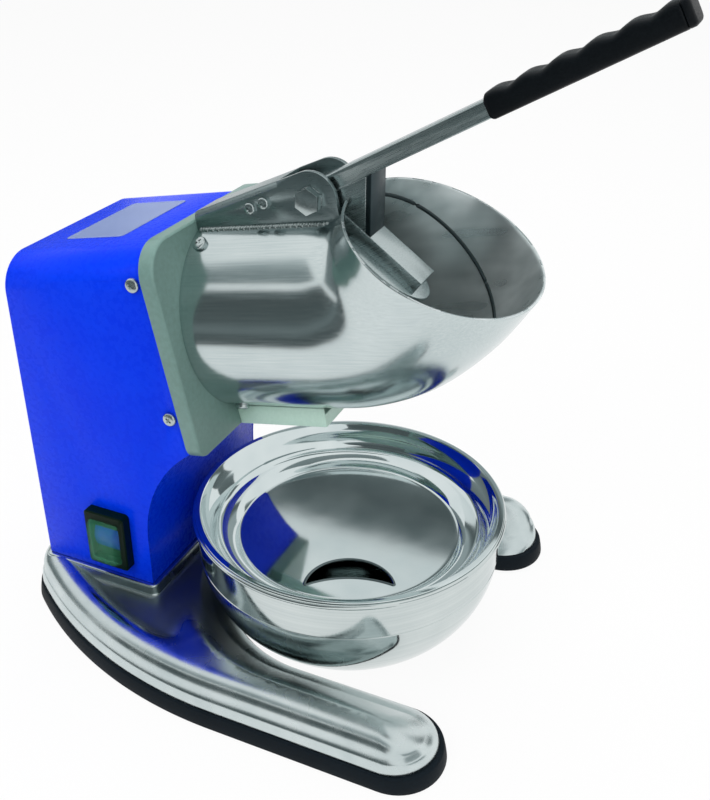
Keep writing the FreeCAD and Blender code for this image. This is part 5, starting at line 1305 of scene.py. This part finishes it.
@dataclass
class Bowl:
    """The spun bowl with its rolled rim, and the drain tray."""

    rim: float = 100.0
    band: float = 97.0
    foot: float = 55.0
    crease: float = 59.0
    height: float = 86.3
    wall: float = 1.2
    curve: float = 70.0
    line: float = 0.45
    tray_floor: float = 64.0
    reach: float = 57.0
    half: float = 27.4
    outer_arc: float = 27.5
    inner_arc: float = 55.7
    tip: float = 1.8
    hem_bead: float = 1.1
    hole_turn: float = -66.0
    outer_steps: int = 36
    inner_steps: int = 20
    corner_shares: tuple = (0.2, 0.4, 0.6, 0.8)
    points_round: int = 192
    # The foot's ring: how far in from the foot it ends, starts and is hollow.
    foot_ring: tuple[float, float, float] = (2.0, 11.0, 14.0)
    band_pitch: float = 4.2
    arc_steps: int = 26
    bead_radius: float = 1.75
    # The bend round the tray's floor: its centre's distance from the axis, and its radius.
    low_bend: tuple[float, float] = (70.0, 3.0)
    # The tray's step: the centre and the radius of its bend, and the sheet's corners round it.
    step_bend: tuple[float, float] = (80.0, 76.0)
    step_radius: float = 6.4
    under_step: tuple[float, float] = (78.5, 69.6)
    under_wall: tuple[float, float] = (91.0, 79.0)
    over_wall: tuple[float, float] = (90.0, 80.0)
    over_step: tuple[float, float] = (78.3, 70.6)
    lip_radius: float = 98.3
    sheet: float = 1.0
    # Radii of the rings in the tray's floor.
    floor_rings: tuple = (*range(0, 67, 3), 67.4, 68.0)

    def shell(self) -> bpy.types.Object:
        """The bowl's wall as one profile, turned."""
        mid = Vector(((self.foot + self.band) / 2, self.crease / 2))
        chord = Vector((self.band - self.foot, self.crease))
        lift = math.sqrt(self.curve ** 2 - (chord.length / 2) ** 2)
        centre = mid + Vector((-chord.y, chord.x)).normalized() * lift
        start = math.degrees(math.atan2(-centre.y, self.foot - centre.x))
        end = math.degrees(math.atan2(self.crease - centre.y, self.band - centre.x))
        end_in, start_in, hollow = (self.foot - inset for inset in self.foot_ring)
        outside = [(0.0, self.wall), (hollow, self.wall), (start_in, 0.0), (end_in, 0.0)]
        outside += arc((centre.x, centre.y), self.curve, start, end, self.arc_steps)
        # A fine line marks where the spun curve meets the upright band.
        outside += [(self.band - self.line, self.crease + 0.3), (self.band, self.crease + 0.9)]
        outside += [(self.band, self.crease + k * self.band_pitch) for k in range(1, 6)]
        outside += [(self.band, self.height - 3.6)]
        bead = arc((self.rim - self.bead_radius, self.height - self.bead_radius),
                   self.bead_radius, -100, 150, 14)
        inside = [(self.band - self.wall, self.height - 1.6), (self.band - self.wall, self.crease)]
        inside += arc((centre.x, centre.y), self.curve - self.wall, end, start, self.arc_steps)
        inside += [(self.foot - 12, 2 * self.wall), (0.0, 2 * self.wall)]
        return lathe("bowl_spun", outside + bead + inside, ROW, self.points_round, sharp=30)

    def crescent(self) -> list[tuple[float, float]]:
        """The drain hole's outline: two arcs with the same ends, and rounded tips."""
        arcs = []
        for radius, way, steps in ((self.outer_arc, 1, self.outer_steps),
                                   (self.inner_arc, -1, self.inner_steps)):
            middle = self.reach + math.sqrt(radius ** 2 - self.half ** 2)
            wide = math.asin(self.half / radius) - self.tip / radius
            turns = [way * wide * (2 * k / steps - 1) for k in range(steps + 1)]
            arcs.append([(middle - radius * math.cos(a), radius * math.sin(a)) for a in turns])
        loop = []
        for path, after, side in ((*arcs, 1), (*reversed(arcs), -1)):
            corner = Vector((self.reach, side * self.half))
            start, end = Vector(path[-1]), Vector(after[0])
            loop += path
            loop += [tuple(start.lerp(corner, t).lerp(corner.lerp(end, t), t))
                     for t in self.corner_shares]
        return loop

    def hem(self) -> bpy.types.Object:
        """The rolled edge of the drain hole: a fine bead that follows its outline."""
        loop = [Vector((x, y, self.tray_floor + self.sheet / 2)) for x, y in self.crescent()]
        verts, count, upward = [], 10, Vector((0, 0, 1))
        for i, point in enumerate(loop):
            side = (loop[(i + 1) % len(loop)] - loop[i - 1]).cross(upward).normalized()
            verts += [point + (side * c + upward * s) * self.hem_bead for c, s in around(count)]
        return make_object("drain_hem", verts, ring_faces(len(loop), count, joined=True),
                           Matrix.Rotation(math.radians(self.hole_turn), 4, "Z"))

    def tray(self) -> bpy.types.Object:
        """The drain tray: lip on the rim, straight wall, step and floor with its crescent."""
        edge, lip = self.band - self.wall - 0.3, self.height + 0.1
        low, high = self.tray_floor, self.tray_floor + self.sheet
        bend, radius = (self.low_bend[0], low + self.low_bend[1]), self.low_bend[1]
        points = [(r, low) for r in self.floor_rings]
        points += arc(bend, radius, 270, 330, 5)
        points += [self.under_step]
        points += arc(self.step_bend, self.step_radius, 284, 350, 7)
        points += [self.under_wall, (edge - 0.6, 83.5), (edge, lip - 0.6), (edge + 0.5, lip)]
        points += [(self.lip_radius, lip), (self.lip_radius, lip + self.sheet)]
        points += [(edge - 0.4, lip + self.sheet), (edge - 1.2, lip + 0.2)]
        points += [(edge - 1.8, 84.0), self.over_wall]
        points += arc(self.step_bend, self.step_radius - self.sheet, 350, 284, 7)
        points += [self.over_step]
        points += arc(bend, radius - self.sheet, 330, 270, 5)
        points += [(r, high) for r in reversed(self.floor_rings)]
        obj = lathe("tray_pressed", points, ROW, self.points_round, sharp=60)
        loop = self.crescent()
        verts = [(x, y, z) for z in (low - 9.0, high + 10.0) for x, y in loop]
        cutter = make_object("crescent", verts, capped_faces(2, len(loop)),
                             Matrix.Rotation(math.radians(self.hole_turn), 4, "Z"))
        return drilled(bevelled(obj, 0.3, 2, 60), cutter)

    def build(self) -> None:
        """Build and mount bowl and tray."""
        mount(self.shell(), BOWL_STEEL, "bowl", ["bowl"])
        mount(self.tray(), TRAY_STEEL, "tray", ["bowl_tray"])
        # The hem's dark grey is painted shade round the drain hole.
        mount(self.hem(), HEM_STEEL, "tray")


# ------------------------------------------------------------------ studio

@dataclass
class Studio:
    """White floor, grey cards, soft lamps, and a camera on the near front side."""

    place: Point = (0.21069, -0.48071, 0.46403)
    azimuth: float = 23.38
    elevation: float = 29.97
    roll: float = 0.73
    focal_px: float = 1003.1
    long_side_px: float = 800.0
    room: float = 0.42
    # Each card: name, corners in mm, and its grey from the first corner's side to the last's.
    cards: tuple = (
        ("front_card", ((-1900, -1150, 0), (150, -1220, 0), (900, -1250, 1280), (-1900, -1150, 1280)),
         ((0.0, 0.24), (0.15, 0.13), (0.55, 0.10), (0.76, 0.20), (0.80, 1.0), (0.97, 1.0),
          (1.0, 0.4))),
        ("front_high_card", ((-1900, -1160, 1280), (900, -1250, 1280), (900, -500, 2250),
                             (-1900, -500, 2250)),
         ((0.0, 0.30), (0.35, 0.34), (0.7, 0.6), (1.0, 1.0))),
        ("front_mat", ((-1900, -440, 0.5), (120, -440, 0.5), (150, -1220, 0.5), (-1900, -1150, 0.5)),
         ((0.0, 0.8), (0.03, 0.10), (0.4, 0.13), (1.0, 0.24))),
        ("right_card", ((1250, -900, 0), (1350, 300, 0), (1350, 300, 420), (1250, -900, 420)),
         ((0.0, 0.28), (1.0, 0.4))),
        ("left_card", ((-1500, -700, 0), (-1450, 1550, 0), (-1450, 1550, 700), (-1500, -700, 700)),
         ((0.0, 0.16), (1.0, 0.3))),
        ("back_card", ((-2200, 1600, 550), (300, 1600, 550), (300, 1600, 2200),
                       (-2200, 1600, 2200)),
         ((0.0, 0.42), (0.27, 0.42), (0.36, 0.2), (0.43, 0.11), (0.5, 0.17), (0.53, 0.85),
          (1.0, 0.95))),
        ("back_right_card", ((780, 1620, 60), (1500, 1500, 60), (1500, 1500, 1050),
                             (780, 1620, 1050)),
         ((0.0, 0.5), (0.1, 0.14), (0.8, 0.2), (1.0, 0.6))),
        ("top_card", ((-700, 300, 2600), (800, 300, 2600), (800, 1200, 2600), (-700, 1200, 2600)),
         ((0.0, 0.24), (1.0, 0.3))),
    )

    lamps: tuple = (("key", (-0.6, -1.5, 1.5), (-0.05, 0.0, 0.15), 1.1, 15.0),
                    ("fill", (1.1, -1.4, 1.7), (-0.05, 0.0, 0.2), 1.3, 13.0),
                    ("top", (-0.1, 0.4, 2.0), (-0.05, 0.0, 0.15), 1.4, 24.0))
    sensor_mm: float = 36.0
    clip: tuple[float, float] = (0.01, 50.0)
    floor_reach: float = 6000.0
    floor_height: float = -0.4
    floor_grey: float = 0.8
    # How much of the floor's light is its own, to the eye and in the polish.
    glow_seen: float = 0.93
    glow_mirrored: float = 0.88
    # How much cooler than grey a dark card is: less red, and a little more blue.
    card_tint: float = 0.2
    card_blue: float = 0.15

    def camera(self) -> None:
        """Set the camera where the object shows its switch side and its mouth."""
        a, e, r = (math.radians(v) for v in (self.azimuth, self.elevation, self.roll))
        ahead = Vector((-math.sin(a) * math.cos(e), math.cos(a) * math.cos(e), -math.sin(e)))
        right = Vector((math.cos(a), math.sin(a), 0))
        up = right.cross(ahead)
        turned = right * math.cos(r) + up * math.sin(r)
        raised = up * math.cos(r) - right * math.sin(r)
        data = bpy.data.cameras.new("camera")
        data.sensor_width = self.sensor_mm
        data.lens = self.focal_px / self.long_side_px * data.sensor_width
        data.clip_start, data.clip_end = self.clip
        camera = linked("camera", data)
        basis = Matrix((turned, raised, -ahead)).transposed()
        camera.matrix_world = Matrix.Translation(self.place) @ basis.to_4x4()
        bpy.context.scene.camera = camera

    def lamp(self, name: str, at: Point, aim: Point, size: float, watts: float) -> None:
        """A square soft lamp that points at a spot."""
        data = bpy.data.lights.new(name, "AREA")
        data.shape, data.size, data.energy = "SQUARE", size, watts
        lamp = linked(name, data)
        lamp.visible_glossy = False
        lamp.location = at
        lamp.rotation_euler = (Vector(aim) - Vector(at)).to_track_quat("-Z", "Y").to_euler()

    @staticmethod
    def _straight(tree: bpy.types.NodeTree) -> tuple:
        """1 for rays from the camera, straight or through glass, and 1 for mirror rays."""
        path = add_node(tree, "ShaderNodeLightPath").outputs
        eye = add_math(tree, "MAXIMUM", path["Is Camera Ray"], path["Is Transmission Ray"])
        return eye, path["Is Glossy Ray"]

    def world(self) -> None:
        """White to the eye and in the polish; a plain grey light for everything else."""
        world = bpy.data.worlds.new("studio")
        bpy.context.scene.world = world
        tree = cleared_tree(world)
        room, white = (add_node(tree, "ShaderNodeBackground",
                                {"inputs": {"Color": (1, 1, 1, 1), "Strength": strength}})
                       for strength in (self.room, 1.0))
        seen = add_math(tree, "MAXIMUM", *self._straight(tree))
        mixed = add_node(tree, "ShaderNodeMixShader", None, i0=seen, i1=room.outputs[0],
                         i2=white.outputs[0])
        add_node(tree, "ShaderNodeOutputWorld", None, Surface=mixed.outputs[0])

    def floor(self) -> None:
        """A wide pale floor that keeps the object's shadow."""
        corners = [(x * self.floor_reach, y * self.floor_reach, self.floor_height)
                   for x, y in ((-1, -1), (1, -1), (1, 1), (-1, 1))]
        floor = make_object("studio_floor", corners, [(0, 1, 2, 3)])
        material = bpy.data.materials.new("pale_floor")
        tree = cleared_tree(material)
        matt = add_node(tree, "ShaderNodeBsdfDiffuse",
                        {"inputs": {"Color": (*(self.floor_grey,) * 3, 1)}})
        glow = add_node(tree, "ShaderNodeEmission",
                        {"inputs": {"Color": (1, 1, 1, 1), "Strength": 1.0}})
        eye, mirror = self._straight(tree)
        mirrored = add_node(tree, "ShaderNodeMath",
                            {"operation": "MULTIPLY", "inputs": {1: self.glow_mirrored}}, i0=mirror)
        share = add_node(tree, "ShaderNodeMath",
                         {"operation": "MULTIPLY_ADD", "inputs": {1: self.glow_seen}}, i0=eye,
                         i2=mirrored.outputs[0])
        mixed = add_node(tree, "ShaderNodeMixShader", None, i0=share.outputs[0],
                         i1=matt.outputs[0], i2=glow.outputs[0])
        add_node(tree, "ShaderNodeOutputMaterial", None, Surface=mixed.outputs[0])
        floor.data.materials.append(material)

    def flags(self) -> None:
        """Graded grey cards round the object, as a studio sets them, that only the polish shows."""
        for name, corners, levels in self.cards:
            material = bpy.data.materials.new(name + "_grey")
            tree = cleared_tree(material)
            start, way = Vector(corners[0]) * MM, (Vector(corners[3]) - Vector(corners[0])) * MM
            spot = add_node(tree, "ShaderNodeTexCoord").outputs["Object"]
            rise = add_node(tree, "ShaderNodeVectorMath",
                            {"operation": "SUBTRACT", "inputs": {1: start}}, i0=spot)
            share = add_node(tree, "ShaderNodeVectorMath",
                             {"operation": "DOT_PRODUCT", "inputs": {1: way / way.length_squared}},
                             i0=rise.outputs[0])
            ramp = add_node(tree, "ShaderNodeValToRGB", None, Fac=share.outputs["Value"])
            while len(ramp.color_ramp.elements) < len(levels):
                ramp.color_ramp.elements.new(1.0)
            for step, (at, level) in zip(ramp.color_ramp.elements, levels):
                tint = self.card_tint * (1 - level)
                step.position = at
                step.color = (level * (1 - tint), level, level * (1 + self.card_blue * tint), 1)
            grey = add_node(tree, "ShaderNodeEmission", {"inputs": {"Strength": 1.0}},
                            Color=ramp.outputs[0])
            add_node(tree, "ShaderNodeOutputMaterial", None, Surface=grey.outputs[0])
            card = make_object(name, corners, [(0, 1, 2, 3)])
            card.data.materials.append(material)
            for ray in ("camera", "diffuse", "shadow", "transmission", "volume_scatter"):
                setattr(card, "visible_" + ray, False)

    def build(self) -> None:
        """Set up the whole studio."""
        self.camera()
        self.world()
        self.floor()
        self.flags()
        for lamp in self.lamps:
            self.lamp(*lamp)
        bpy.context.scene.view_settings.view_transform = "Standard"


def main() -> None:
    """Build the studio, then each sub-assembly in order."""
    logging.basicConfig(level=logging.INFO, format="%(name)s %(message)s")
    Studio().build()
    scatter, forms = Scatter(), Forms()
    screw = forms.screw()
    Base().build(scatter, screw)
    Housing().build(scatter, forms, screw)
    Hopper().build(scatter, forms, screw)
    Lever().build()
    Bowl().build()
    bpy.data.objects.remove(screw)


if __name__ == "__main__":
    main()
